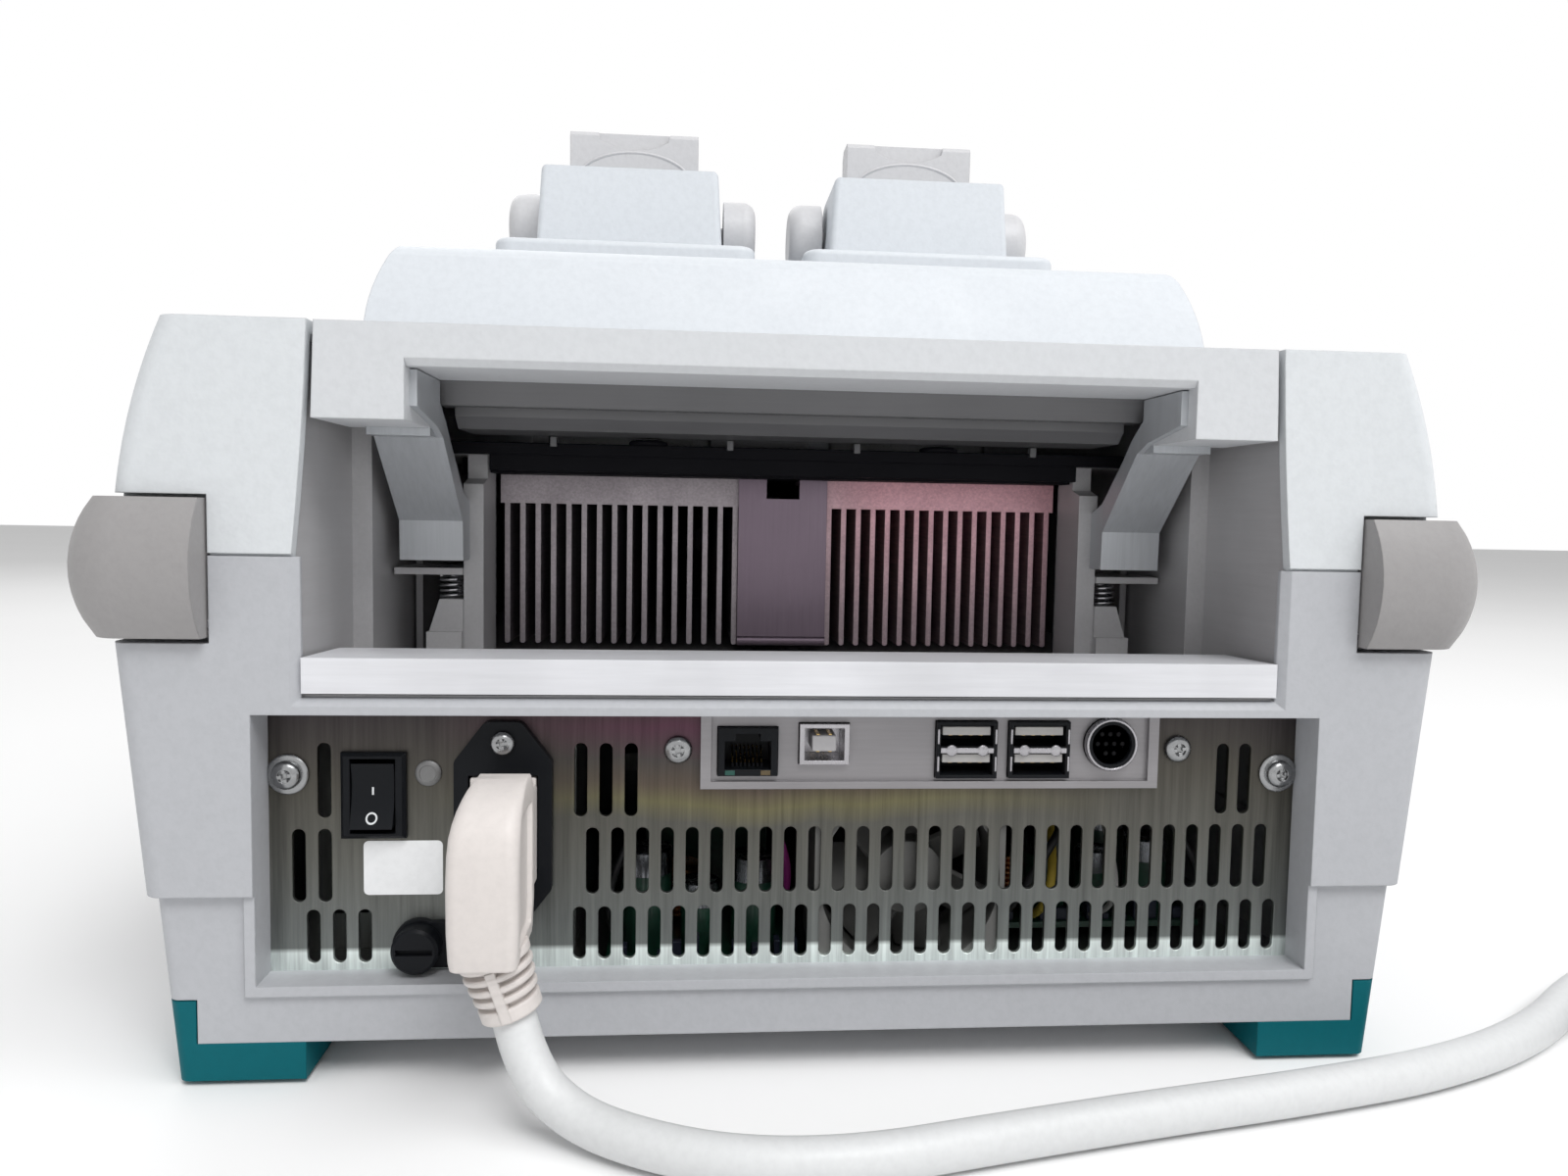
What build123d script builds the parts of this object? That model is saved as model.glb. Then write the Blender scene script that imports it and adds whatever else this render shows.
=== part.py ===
from build123d import *
import os
from math import atan2, cos, degrees, pi, radians, sin, tan

os.makedirs("parts", exist_ok=True)

# Bench-top thermal cycler, in millimetres. +Z is up, the front panel faces -Y and the
# connector panel faces +Y. The origin lies on the bench, at the centre of the footprint.
# Depths are measured from the flat rear face of the case towards the front.

# Overall size
total_depth = 460.0
bar_bulge = 8.0
bar_lip = 3.0
bar_front_gap = 1.2
rear_y = total_depth / 2 - bar_bulge
front_y = -(total_depth / 2 - bar_bulge - bar_front_gap)
running_gap = 0.05
joint_gap = 0.6
seat_gap = 0.3

# Case outline seen from behind
foot_half = 145.9
belt_half = 156.1
belt_height = 104.0
shoulder_height = 121.0
top_half = 145.0
case_top = 175.1
case_bottom = 9.9
skirt_height = 45.0
skirt_step = 2.2
parting_height = 122.5
case_wall = 3.0
groove_depth = 1.2
rear_corner = 5.0
front_corner = 45.0
least_corner = 0.8

# Feet
foot_length = 30.0
foot_inner = 114.9
foot_strip_inner = 139.3
foot_top = 20.0
pad_height = 1.0

# Rear openings
window_half = 125.5
window_low = 23.6
window_high = 86.8
window_depth = 10.0
rim = 2.5
bay_half = 114.9
bay_low = 90.5
opening_bevel = 1.8
cover_edge = [(112.3, case_top + 1), (113.6, 152.0), (116.3, parting_height - 1)]
cover_edge_front = 113.6

# Chassis plate and what it carries
plate_thickness = 1.2
plate_half = 127.6
plate_depth = window_depth
pan_thickness = 1.2
slot_pitch = 5.99
slot_width = 3.1
screw_head_radius = 3.4

# Module bay
bay_length = 304.0
bay_wide_half = 116.2
bay_narrow_half = 111.1
bay_step_depth = 43.5
bay_wall = 2.5
bay_floor_top = 91.0
bay_floor_thickness = 1.7
bay_top = 172.0

# Locking bar
bar_low = 104.2
bar_high = 135.3
bar_inner = 156.6
bar_end_inner = 134.6
bar_sunk = 6.0
bar_pivot_depth = 2.4
bar_pivot_height = 107.0
bar_pin_radius = 2.0
recess_depth = 7.6
recess_gap = 0.5
recess_below = 1.3

# Module and deck
deck_half = 112.6
deck_shoulder = 182.0
deck_top_half = 106.0
deck_top = 204.5
deck_bottom = 173.0
deck_back = 40.0
deck_front = 301.0
deck_wall = 3.0
handle_half_top = 111.0
handle_half_bottom = 111.8
handle_bottom = 153.5
handle_top = 175.0
notch_half = 91.5
notch_top = 165.6
handle_thick = 27.0
block_offset = 50.2
block_depth = 181.0
block_width = 58.0
block_length = 76.0
block_low = 148.5
block_top = 184.5
well_pitch = 9.0

# Heat sinks
sink_inner = 12.4
sink_width = 72.4
sink_depth = 82.0
sink_length = 180.0
sink_top = 144.5
sink_base = 8.5
fin_bottom = 93.8
fin_count = 16
fin_pitch = 4.56
fin_thickness = 1.6

# Lids
lid_half = 42.2
lid_back = 110.0
lid_length = 132.0
lid_low = 205.0
lid_high = 221.5
lid_wall = 2.5
tower_half_low = 31.75
tower_half_high = 30.0
tower_top = 251.0
nose_height = 231.0
lid_axis_depth = 115.0
lid_axis_height = 210.0
lid_pin_radius = 2.0
lever_depth = 160.0
tower_reach = 30.0
tower_back = lever_depth - tower_reach
lever_height = 235.2
lever_shaft_radius = 4.0
hub_radius = 13.2
hub_outer = 44.0
grip_half = 23.0
grip_top = 270.5
arm_half = 11.0

# Power cord
cord_diameter = 9.6
coil_centre = (-272.0, rear_y + 20.0)
coil_turn_radii = (42.0, 62.4)
coil_layer_rise = 9.7


def back(depth):
    """Y of a point at a depth in front of the rear face."""
    return rear_y - depth


def block(low, high, mode=Mode.ADD):
    """Box between two opposite corners, in the open part."""
    sizes = [abs(b - a) for a, b in zip(low, high)]
    middle = tuple((a + b) / 2 for a, b in zip(low, high))
    with Locations(middle):
        Box(*sizes, mode=mode)


def rod(centre, radius, length, axis="X", mode=Mode.ADD):
    """Cylinder about a centre, along one of the three axes, in the open part."""
    turns = {"X": (0, 90, 0), "Y": (90, 0, 0), "Z": (0, 0, 0)}
    with Locations(centre):
        Cylinder(radius, length, rotation=turns[axis], mode=mode)


def plan_outline(height, half, inset):
    """Plan view of the case at one height, with its rounded corners."""
    with BuildSketch(Plane.XY.offset(height)) as plan:
        with Locations((0, (front_y + rear_y) / 2)):
            Rectangle(2 * (half - inset), rear_y - front_y - 2 * inset)
        fillet(plan.vertices().group_by(Axis.Y)[-1], radius=max(rear_corner - inset, least_corner))
        fillet(plan.vertices().group_by(Axis.Y)[0], radius=front_corner - inset)
    return plan.sketch


def case_block(inset, low, high):
    """Solid inside the case outline, inset by a wall, between two heights."""
    with BuildPart() as filled:
        with BuildSketch(Plane.XZ.offset(inset - rear_y)):
            with BuildLine():
                Polyline((0, belt_height), (belt_half - inset, belt_height),
                         (belt_half - inset, shoulder_height))
                TangentArc((belt_half - inset, shoulder_height), (top_half - inset, case_top), tangent=(0, 1))
                Polyline((top_half - inset, case_top), (0, case_top), (0, belt_height))
            make_face()
            mirror(about=Plane.YZ)
        extrude(amount=rear_y - front_y - 2 * inset)
        for place, radius in ((-1, rear_corner), (0, front_corner)):
            end = filled.faces().filter_by(Axis.Y).sort_by(Axis.Y)[place]
            sides = end.edges().filter_by(lambda edge: abs(edge.center().X) > top_half - 5)
            fillet(sides, radius=max(radius - inset, least_corner))
        with BuildPart(mode=Mode.PRIVATE) as tub:
            bottom = plan_outline(0, foot_half, inset)
            belt = plan_outline(belt_height, belt_half, inset)
            loft(sections=[bottom, belt], ruled=True)
        add(tub.part)
        block((-200, -300, low), (200, 300, high), mode=Mode.INTERSECT)
    return filled.part


def prism_x(points, low, high):
    """Solid between two X planes, from an outline of depths and heights."""
    with BuildPart() as solid:
        with BuildSketch(Plane.YZ.offset(low)):
            with BuildLine():
                Polyline(*[(back(depth), height) for depth, height in points], close=True)
            make_face()
        extrude(amount=high - low)
    return solid.part


def slot_holes(centres, bottom, top):
    """Upright rounded slots through the chassis plate, in the open part."""
    for x in centres:
        with BuildSketch(Plane.XZ.offset(-back(plate_depth - 1))) as outline:
            with Locations((x, (bottom + top) / 2)):
                SlotOverall(top - bottom, slot_width, rotation=90)
        extrude(to_extrude=outline.sketch, amount=plate_thickness + 2, mode=Mode.SUBTRACT)


# Lower case: the tub with the connector window and the lower half of the bay opening
with BuildPart() as lower_case:
    add(case_block(0, skirt_height, parting_height))
    add(case_block(skirt_step, case_bottom, skirt_height))
    add(case_block(case_wall, skirt_height, parting_height + 1), mode=Mode.SUBTRACT)
    add(case_block(skirt_step + case_wall, case_bottom + case_wall, skirt_height + 1), mode=Mode.SUBTRACT)
    block(
        (-window_half - rim, back(window_depth), window_low - rim),
        (window_half + rim, back(1), window_high + rim),
    )
    block(
        (-window_half, back(window_depth + 1), window_low),
        (window_half, back(-1), window_high),
        mode=Mode.SUBTRACT,
    )
    block(
        (-bay_half, back(window_depth + 1), bay_low),
        (bay_half, back(-1), parting_height + 1),
        mode=Mode.SUBTRACT,
    )
    rear_lip = lower_case.edges().filter_by(
        lambda edge: abs(edge.center().Y - rear_y) < 0.01
        and (abs(abs(edge.center().X) - bay_half) < 0.01 or abs(edge.center().Z - bay_low) < 0.01)
    )
    chamfer(rear_lip, length=opening_bevel)
    for side in (-1, 1):
        block(
            (side * (bar_end_inner - 6), back(recess_depth + case_wall), bar_low - 5),
            (side * (belt_half - case_wall), back(case_wall), parting_height),
        )
        block(
            (side * (bar_end_inner - recess_gap), back(recess_depth), bar_low - recess_below),
            (side * 180, back(-1), parting_height + 1),
            mode=Mode.SUBTRACT,
        )
        rod(
            (side * (bar_end_inner - 3.5), back(bar_pivot_depth), bar_pivot_height),
            bar_pin_radius, 7.0, mode=Mode.SUBTRACT,
        )
        block(
            (side * (foot_strip_inner - joint_gap / 2), back(foot_length + joint_gap / 2), case_bottom - 1),
            (side * 180, back(-1), foot_top + joint_gap / 2),
            mode=Mode.SUBTRACT,
        )
        block(
            (side * (foot_strip_inner - joint_gap / 2), front_y + front_corner - joint_gap / 2,
             case_bottom - 1),
            (side * 180, front_y + front_corner + foot_length + joint_gap / 2, foot_top + joint_gap / 2),
            mode=Mode.SUBTRACT,
        )
lower_case.part.label = "lower_case"
export_step(lower_case.part, "parts/lower_case.step")

# Side covers: the upper shells on each side of the module bay
cover_front_y = back(bay_length) + joint_gap
for side, name in ((1, "side_cover_right"), (-1, "side_cover_left")):
    with BuildPart() as side_cover:
        add(case_block(0, parting_height + joint_gap, case_top))
        add(case_block(groove_depth, parting_height, parting_height + 2))
        add(case_block(case_wall, parting_height, case_top - case_wall), mode=Mode.SUBTRACT)
        block(
            (side * (bar_end_inner - 6), back(recess_depth + case_wall), parting_height + joint_gap),
            (side * (belt_half - case_wall), back(1), bar_high + 4),
        )
        block((-side * 200, -300, 0), (0, 300, 300), mode=Mode.SUBTRACT)
        block((0, -300, 0), (side * 200, cover_front_y, 300), mode=Mode.SUBTRACT)
        with BuildSketch(Plane.XZ.offset(-back(-1))) as bay_edge:
            with BuildLine():
                Spline([(side * x, z) for x, z in cover_edge])
                Polyline(
                    (side * cover_edge[0][0], cover_edge[0][1]),
                    (0, cover_edge[0][1]),
                    (0, cover_edge[-1][1]),
                    (side * cover_edge[-1][0], cover_edge[-1][1]),
                )
            make_face()
        extrude(to_extrude=bay_edge.sketch, amount=deck_back + 1, mode=Mode.SUBTRACT)
        block((0, -300, 0), (side * cover_edge_front, back(deck_back), 300), mode=Mode.SUBTRACT)
        block(
            (side * (bar_end_inner - recess_gap), back(recess_depth), 100),
            (side * 180, back(-1), bar_high + 0.8),
            mode=Mode.SUBTRACT,
        )
    side_cover.part.label = name
    export_step(side_cover.part, f"parts/{name}.step")

# Feet: four corner mouldings that wrap round the case, with a rubber pad under each
foot_boxes = []
for side in (-1, 1):
    foot_boxes.append((side, back(foot_length), rear_y + 5, back(foot_length), rear_y + 5))
    foot_boxes.append((side, front_y - 5, front_y + front_corner + foot_length,
                       front_y + front_corner, front_y + front_corner + foot_length))
with BuildPart() as corner_feet:
    add(case_block(skirt_step, pad_height, case_bottom))
    with BuildPart(mode=Mode.PRIVATE) as foot_zone:
        for side, low_y, high_y, strip_low, strip_high in foot_boxes:
            block((side * foot_inner, low_y, 0), (side * 180, high_y, case_bottom))
    add(foot_zone.part, mode=Mode.INTERSECT)
    with BuildPart(mode=Mode.PRIVATE) as strips:
        add(case_block(skirt_step, case_bottom, foot_top))
        with BuildPart(mode=Mode.PRIVATE) as strip_zone:
            for side, low_y, high_y, strip_low, strip_high in foot_boxes:
                block((side * foot_strip_inner, strip_low, case_bottom), (side * 180, strip_high, foot_top))
        add(strip_zone.part, mode=Mode.INTERSECT)
    add(strips.part)
corner_feet.part.label = "corner_feet"
export_step(corner_feet.part, "parts/corner_feet.step")

pad_radius = 9.0
pad_places = [
    (side * (foot_inner + pad_radius + 3), y)
    for side in (-1, 1)
    for y in (back(foot_length / 2), front_y + front_corner + 8)
]
with BuildPart() as foot_pads:
    for x, y in pad_places:
        rod((x, y, (pad_height - 0.01) / 2), pad_radius, pad_height - 0.01, "Z")
foot_pads.part.label = "foot_pads"
export_step(foot_pads.part, "parts/foot_pads.step")

# Base pan: the folded steel floor inside the lower case
pan_low = case_bottom + case_wall
pan_top = pan_low + pan_thickness
pan_half = 132.0
with BuildPart() as base_pan:
    block((-pan_half, front_y + 20, pan_low), (pan_half, back(plate_depth + 8), pan_top))
    for y in (front_y + 20, -110.0, -30.0):
        block((-pan_half, y, pan_top), (pan_half, y + pan_thickness, pan_top + 8))
base_pan.part.label = "base_pan"
export_step(base_pan.part, "parts/base_pan.step")

# Chassis plate: zinc-plated steel with ventilation slots and connector cutouts
switch_centre = (101.2, 66.1)
switch_size = (15.0, 20.6)
inlet_centre = (71.0, 59.0)
inlet_body = (20.0, 27.0)
fuse_centre = (90.8, 30.0)
fuse_hole_radius = 4.6
port_left = 24.5
port_right = -89.2
port_low = 67.5
slots_high = (41.5, 57.8)
slots_low = (25.3, 38.3)
slots_top = (60.5, 78.4)
with BuildPart() as chassis_plate:
    block(
        (-plate_half, back(plate_depth + plate_thickness), pan_top),
        (plate_half, back(plate_depth), window_high + rim - 0.4),
    )
    block(
        (-plate_half, back(plate_depth + 24), pan_top),
        (plate_half, back(plate_depth + plate_thickness), pan_top + plate_thickness),
    )
    slot_holes([50.2 - slot_pitch * k for k in range(29)], *slots_high)
    slot_holes([53.2 - slot_pitch * k for k in range(30)], *slots_low)
    slot_holes([53.1, 47.1, 41.1, -106.7, -112.5, 112.8], *slots_top)
    slot_holes([118.8, 112.8], 40.2, 57.8)
    slot_holes([115.6, 109.6, 103.7], *slots_low)
    for (x, z), (wide, tall) in ((switch_centre, switch_size), (inlet_centre, inlet_body)):
        block(
            (x - wide / 2 + 1, back(plate_depth + 2), z - tall / 2 + 1),
            (x + wide / 2 - 1, back(plate_depth - 1), z + tall / 2 - 1),
            mode=Mode.SUBTRACT,
        )
    rod((fuse_centre[0], back(plate_depth), fuse_centre[1]), fuse_hole_radius, 5, "Y", Mode.SUBTRACT)
    block(
        (port_right + 2.5, back(plate_depth + 2), port_low + 2.0),
        (port_left - 2.5, back(plate_depth - 1), window_high + rim + 1),
        mode=Mode.SUBTRACT,
    )
chassis_plate.part.label = "chassis_plate"
export_step(chassis_plate.part, "parts/chassis_plate.step")

# Screws and the rivet on the rear panel: pan heads with a washer at the outer pair
screw_places = [
    (121.0, 71.0, True),
    (-121.0, 71.0, True),
    (29.9, 76.9, False),
    (-94.6, 77.2, False),
    (88.8, 71.2, False),
]
with BuildPart() as rear_screws:
    for x, z, with_washer in screw_places:
        stack = 0.0
        if with_washer:
            stack = 0.9
            rod((x, back(plate_depth - stack / 2), z), screw_head_radius + 0.9, stack, "Y")
        with BuildSketch(Plane.XZ.offset(-back(plate_depth - stack))) as head:
            with Locations((x, z)):
                Circle(screw_head_radius)
        extrude(to_extrude=head.sketch, amount=-2.0, taper=22)
    for z in (inlet_centre[1] - 20, inlet_centre[1] + 20):
        rod((inlet_centre[0], back(plate_depth - 3.2), z), 3.0, 1.4, "Y")
rear_screws.part.label = "rear_screws"
export_step(rear_screws.part, "parts/rear_screws.step")

# Port panel: the folded bracket that frames the data connectors
jack = (20.3, 5.9, 70.8, 82.5)
usb_b = (0.6, -11.5, 73.6, 83.5)
usb_a = ((-33.1, -48.1, 70.2, 84.1), (-51.3, -66.4, 70.2, 84.1))
service_centre = (-76.9, 78.6)
service_radius = 6.4
panel_depth = plate_depth - 1.6
with BuildPart() as port_panel:
    block(
        (port_right, back(plate_depth), port_low),
        (port_left, back(panel_depth), window_high - 0.2),
    )
    block(
        (port_right + 2.6, back(plate_depth - 0.4), port_low + 1.8),
        (port_left - 2.6, back(panel_depth - 1), window_high),
        mode=Mode.SUBTRACT,
    )
    for left, right, low, high in (jack, usb_b) + usb_a:
        block(
            (right - 0.2, back(plate_depth + 1), low - 0.2),
            (left + 0.2, back(panel_depth - 2), high + 0.2),
            mode=Mode.SUBTRACT,
        )
    rod((service_centre[0], back(plate_depth), service_centre[1]),
        service_radius + 0.2, 6, "Y", Mode.SUBTRACT)
port_panel.part.label = "port_panel"
export_step(port_panel.part, "parts/port_panel.step")

# Circuit boards: the main board carries the data connectors, the power board lies below
board_top = 70.2
board_thickness = 1.6
board_depth = 176.0
with BuildPart() as main_board:
    block((-105, back(plate_depth + board_depth), board_top - board_thickness),
          (30, back(plate_depth + 3), board_top))
    for x, depth, wide, long, tall in (
        (-70, 70, 26, 26, 3.0), (-20, 90, 18, 18, 2.4), (10, 60, 12, 20, 4.0),
        (-40, 130, 40, 12, 7.0), (-90, 120, 12, 34, 8.0), (10, 130, 16, 16, 9.0),
    ):
        block((x - wide / 2, back(depth + long), board_top), (x + wide / 2, back(depth), board_top + tall))
    for x, depth in ((-56.0, 60.0), (-9.0, 60.0), (-100.0, 180.0), (25.0, 180.0)):
        rod((x, back(depth), (pan_top + board_top - board_thickness) / 2), 2.5,
            board_top - board_thickness - pan_top, "Z")
main_board.part.label = "main_board"
export_step(main_board.part, "parts/main_board.step")

power_board_low = 19.0
with BuildPart() as power_board:
    block((-118, back(150), power_board_low), (-60, back(42), power_board_low + board_thickness))
    block((-2, back(150), power_board_low), (48, back(20), power_board_low + board_thickness))
    for x, depth in ((-110, 60), (-68, 60), (-110, 140), (-68, 140), (4, 60), (42, 60), (4, 140), (42, 140)):
        rod((x, back(depth), (pan_top + power_board_low) / 2), 2.5, power_board_low - pan_top, "Z")
    top = power_board_low + board_thickness
    for x, depth, radius, tall in (
        (-105, 50, 6.0, 22), (-90, 52, 5.0, 18), (-75, 50, 6.0, 24), (10, 30, 6.0, 24),
        (24, 28, 5.0, 18), (38, 30, 6.5, 26), (10, 48, 4.0, 14), (-98, 70, 8.0, 26),
    ):
        rod((x, back(depth), top + tall / 2), radius, tall, "Z")
    block((-115, back(140), top), (-80, back(90), top + 22))
    block((4, back(140), top), (40, back(70), top + 28))
power_board.part.label = "power_board"
export_step(power_board.part, "parts/power_board.step")

# Data connectors
connector_back = plate_depth + 14.0
with BuildPart() as ethernet_jack:
    left, right, low, high = jack
    block((right, back(connector_back), board_top), (left, back(plate_depth + 0.4), high))
    block((right, back(plate_depth + 0.4), low), (left, back(panel_depth - 0.4), high))
    mid = (left + right) / 2
    block((mid - 5.6, back(panel_depth + 10), low + 1.6), (mid + 5.6, back(panel_depth - 2), high - 3.2),
          mode=Mode.SUBTRACT)
    block((mid - 3.0, back(panel_depth + 10), high - 3.3), (mid + 3.0, back(panel_depth - 2), high - 1.4),
          mode=Mode.SUBTRACT)
    for k in range(8):
        x = mid - 3.57 + 1.02 * k
        block((x - 0.25, back(panel_depth + 9.5), low + 1.6), (x + 0.25, back(panel_depth + 3), low + 2.4))
ethernet_jack.part.label = "ethernet_jack"
export_step(ethernet_jack.part, "parts/ethernet_jack.step")

with BuildPart() as usb_b_port:
    left, right, low, high = usb_b
    block((right, back(connector_back), board_top), (left, back(plate_depth + 0.4), high))
    block((right, back(plate_depth + 0.4), low), (left, back(panel_depth - 0.4), high))
    block((right + 1.2, back(panel_depth + 9), low + 1.0), (left - 1.2, back(panel_depth - 2), high - 1.0),
          mode=Mode.SUBTRACT)
    block((right + 3.2, back(panel_depth + 9), low + 3.2), (left - 3.2, back(panel_depth + 0.4), high - 3.0))
usb_b_port.part.label = "usb_b_port"
export_step(usb_b_port.part, "parts/usb_b_port.step")

with BuildPart() as usb_a_ports:
    for left, right, low, high in usb_a:
        block((right, back(connector_back), low), (left, back(panel_depth - 0.4), high))
        for base in (low + 0.8, low + 7.6):
            block((right + 0.8, back(panel_depth + 10), base),
                  (left - 0.8, back(panel_depth - 2), base + 5.4),
                  mode=Mode.SUBTRACT)
            block((right + 1.6, back(panel_depth + 10), base + 3.0),
                  (left - 1.6, back(panel_depth + 0.6), base + 4.9))
usb_a_ports.part.label = "usb_a_ports"
export_step(usb_a_ports.part, "parts/usb_a_ports.step")

with BuildPart() as service_port:
    x, z = service_centre
    rod((x, back(plate_depth + 4), z), service_radius, 13, "Y")
    rod((x, back(panel_depth + 3), z), service_radius - 1.4, 9.0, "Y", Mode.SUBTRACT)
    rod((x, back(panel_depth + 5), z), 3.9, 5.0, "Y")
    block((x - 5, back(connector_back), board_top), (x + 5, back(plate_depth + 4), z))
service_port.part.label = "service_port"
export_step(service_port.part, "parts/service_port.step")

# Power inlet: flange, socket and three blades
flange_depth = plate_depth - 2.5
socket_half = (8.1, 12.1)
with BuildPart() as power_inlet:
    x, z = inlet_centre
    with BuildSketch(Plane.XZ.offset(-back(flange_depth))) as flange:
        with Locations((x, z)):
            Polygon((4.2, 25), (11.45, 15.5), (11.45, -15.5), (4.2, -25),
                    (-4.2, -25), (-11.45, -15.5), (-11.45, 15.5), (-4.2, 25), align=None)
        fillet(flange.vertices(), radius=2.0)
    extrude(to_extrude=flange.sketch, amount=2.5)
    block((x - inlet_body[0] / 2 + 1.2, back(plate_depth + 23), z - inlet_body[1] / 2 + 1.2),
          (x + inlet_body[0] / 2 - 1.2, back(plate_depth), z + inlet_body[1] / 2 - 1.2))
    block((x - socket_half[0], back(plate_depth + 14.5), z - socket_half[1]),
          (x + socket_half[0], back(flange_depth - 1), z + socket_half[1]), mode=Mode.SUBTRACT)
    for offset_z, offset_x in ((7.0, 0.0), (0.0, -5.0), (-7.0, 0.0)):
        block((x + offset_x - 1.0, back(plate_depth + 14.5), z + offset_z - 2.0),
              (x + offset_x + 1.0, back(plate_depth + 1), z + offset_z + 2.0))
power_inlet.part.label = "power_inlet"
export_step(power_inlet.part, "parts/power_inlet.step")

# Mains rocker switch
rocker_half = (4.9, 8.4)
rocker_foot = 1.0
rocker_axis_depth = plate_depth + 1.0
bezel_face = plate_depth - 2.0
with BuildPart() as switch_bezel:
    x, z = switch_centre
    wide, tall = switch_size
    block((x - wide / 2, back(plate_depth), z - tall / 2), (x + wide / 2, back(bezel_face), z + tall / 2))
    chamfer(switch_bezel.faces().sort_by(Axis.Y)[-1].edges(), length=0.8)
    block((x - wide / 2 + 1.2, back(plate_depth + 18), z - tall / 2 + 1.2),
          (x + wide / 2 - 1.2, back(plate_depth), z + tall / 2 - 1.2))
    block((x - rocker_half[0] - 0.3, back(plate_depth + 12), z - rocker_half[1] - 0.5),
          (x + rocker_half[0] + 0.3, back(0), z + rocker_half[1] + 0.5), mode=Mode.SUBTRACT)
    rod((x, back(rocker_axis_depth + 2.5), z), 1.2, 2 * rocker_half[0] + 1.5, "X")
switch_bezel.part.label = "switch_bezel"
export_step(switch_bezel.part, "parts/switch_bezel.step")

with BuildPart() as switch_rocker:
    x, z = switch_centre
    depth = rocker_axis_depth + 2.5
    with BuildSketch(Plane.YZ.offset(x - rocker_half[0])) as rocker_outline:
        with BuildLine():
            Polyline(
                (back(bezel_face - 0.2), z + rocker_half[1] - 0.6),
                (back(depth + 3.2), z + rocker_half[1] - 2.4),
                (back(depth + 3.2), z - rocker_half[1] + 2.4),
                (back(bezel_face - 2.0), z - rocker_half[1] + rocker_foot),
            )
            ThreePointArc(
                (back(bezel_face - 2.0), z - rocker_half[1] + rocker_foot),
                (back(bezel_face + 0.4), z),
                (back(bezel_face - 0.2), z + rocker_half[1] - 0.6),
            )
        make_face()
    extrude(to_extrude=rocker_outline.sketch, amount=2 * rocker_half[0])
    rod((x, back(depth), z), 1.2 + running_gap, 20, "X", Mode.SUBTRACT)
switch_rocker.part.label = "switch_rocker"
export_step(switch_rocker.part, "parts/switch_rocker.step")

# Fuse holder with its bayonet cap
fuse_flange = (6.2, 1.6)
fuse_tab = (10.0, 5.6)
fuse_cap_radius = 5.5
with BuildPart() as fuse_holder:
    x, z = fuse_centre
    rod((x, back(plate_depth - fuse_flange[1] / 2), z), fuse_flange[0], fuse_flange[1], "Y")
    block((x - fuse_tab[0], back(plate_depth), z - fuse_tab[1]),
          (x, back(plate_depth - fuse_flange[1]), z + fuse_tab[1]))
    rod((x, back(plate_depth + 12.5), z), fuse_hole_radius - 0.1, 25.0, "Y")
    rod((x, back(plate_depth + 8), z), 3.4, 20.0, "Y", Mode.SUBTRACT)
fuse_holder.part.label = "fuse_holder"
export_step(fuse_holder.part, "parts/fuse_holder.step")

with BuildPart() as fuse_cap:
    x, z = fuse_centre
    cap_back = plate_depth - fuse_flange[1] - 0.1
    rod((x, back(cap_back - 2.4), z), fuse_cap_radius, 4.8, "Y")
    chamfer(fuse_cap.edges().filter_by(GeomType.CIRCLE).sort_by(Axis.Y)[-1], length=0.7)
    block((x - 4.2, back(cap_back - 3.4), z - 0.7), (x + 4.2, back(cap_back - 6), z + 0.7),
          mode=Mode.SUBTRACT)
    rod((x, back(cap_back + 7), z), 3.4 - running_gap, 14.0, "Y")
fuse_cap.part.label = "fuse_cap"
export_step(fuse_cap.part, "parts/fuse_cap.step")

# Power supply: closed sheet-metal box beside the boards
supply_low = (58.0, back(215), pan_top)
supply_high = (130.0, back(46), 74.0)
with BuildPart() as power_supply:
    block(supply_low, supply_high)
    block([a + 1.2 for a in supply_low[:2]] + [supply_low[2] + 1.2],
          [b - 1.2 for b in supply_high], mode=Mode.SUBTRACT)
    for k in range(9):
        for level in range(3):
            x = supply_low[0] + 10 + 6.5 * k
            block((x, back(60), 24 + 15 * level), (x + 3, back(40), 34 + 15 * level), mode=Mode.SUBTRACT)
power_supply.part.label = "power_supply"
export_step(power_supply.part, "parts/power_supply.step")


def fan_frame(centre, size, depth):
    """Square fan housing with its stator, three struts and the bearing pin, along Y."""
    x, y, z = centre
    with BuildPart() as frame:
        with Locations(centre):
            Box(size, depth, size)
        fillet(frame.edges().filter_by(Axis.Y), radius=4)
        rod(centre, size / 2 - 1.4, depth + 2, "Y", Mode.SUBTRACT)
        stator_y = y - depth / 2 + 1.5
        rod((x, stator_y, z), size * 0.19, 3.0, "Y")
        for angle in (90, 210, 330):
            with Locations(Location((x, stator_y, z), (0, angle, 0))):
                with Locations((size * 0.33, 0, 0)):
                    Box(size * 0.31, 2.0, 2.4)
        rod((x, y - 1, z), 1.5, depth - 8, "Y")
    return frame.part


def fan_rotor(centre, size, depth):
    """Hub with seven twisted blades and a bore for the bearing pin, along Y."""
    x, y, z = centre
    hub = size * 0.19
    tip = size / 2 - 2.2
    with BuildPart() as rotor:
        rod((x, y + 1.6, z), hub, depth - 7.4, "Y")
        for k in range(7):
            with Locations(Location((x, y + 1.6, z), (0, k * 360 / 7, 0))):
                with Locations(Location(((hub + tip) / 2 - 0.5, 0, 0), (38, 0, 0))):
                    Box(tip - hub + 1, 1.4, 13.0)
        rod((x, y, z), tip, depth - 5, "Y", Mode.INTERSECT)
        rod((x, y - 1, z), 1.5 + running_gap, depth - 7.2, "Y", Mode.SUBTRACT)
    return rotor.part


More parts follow.
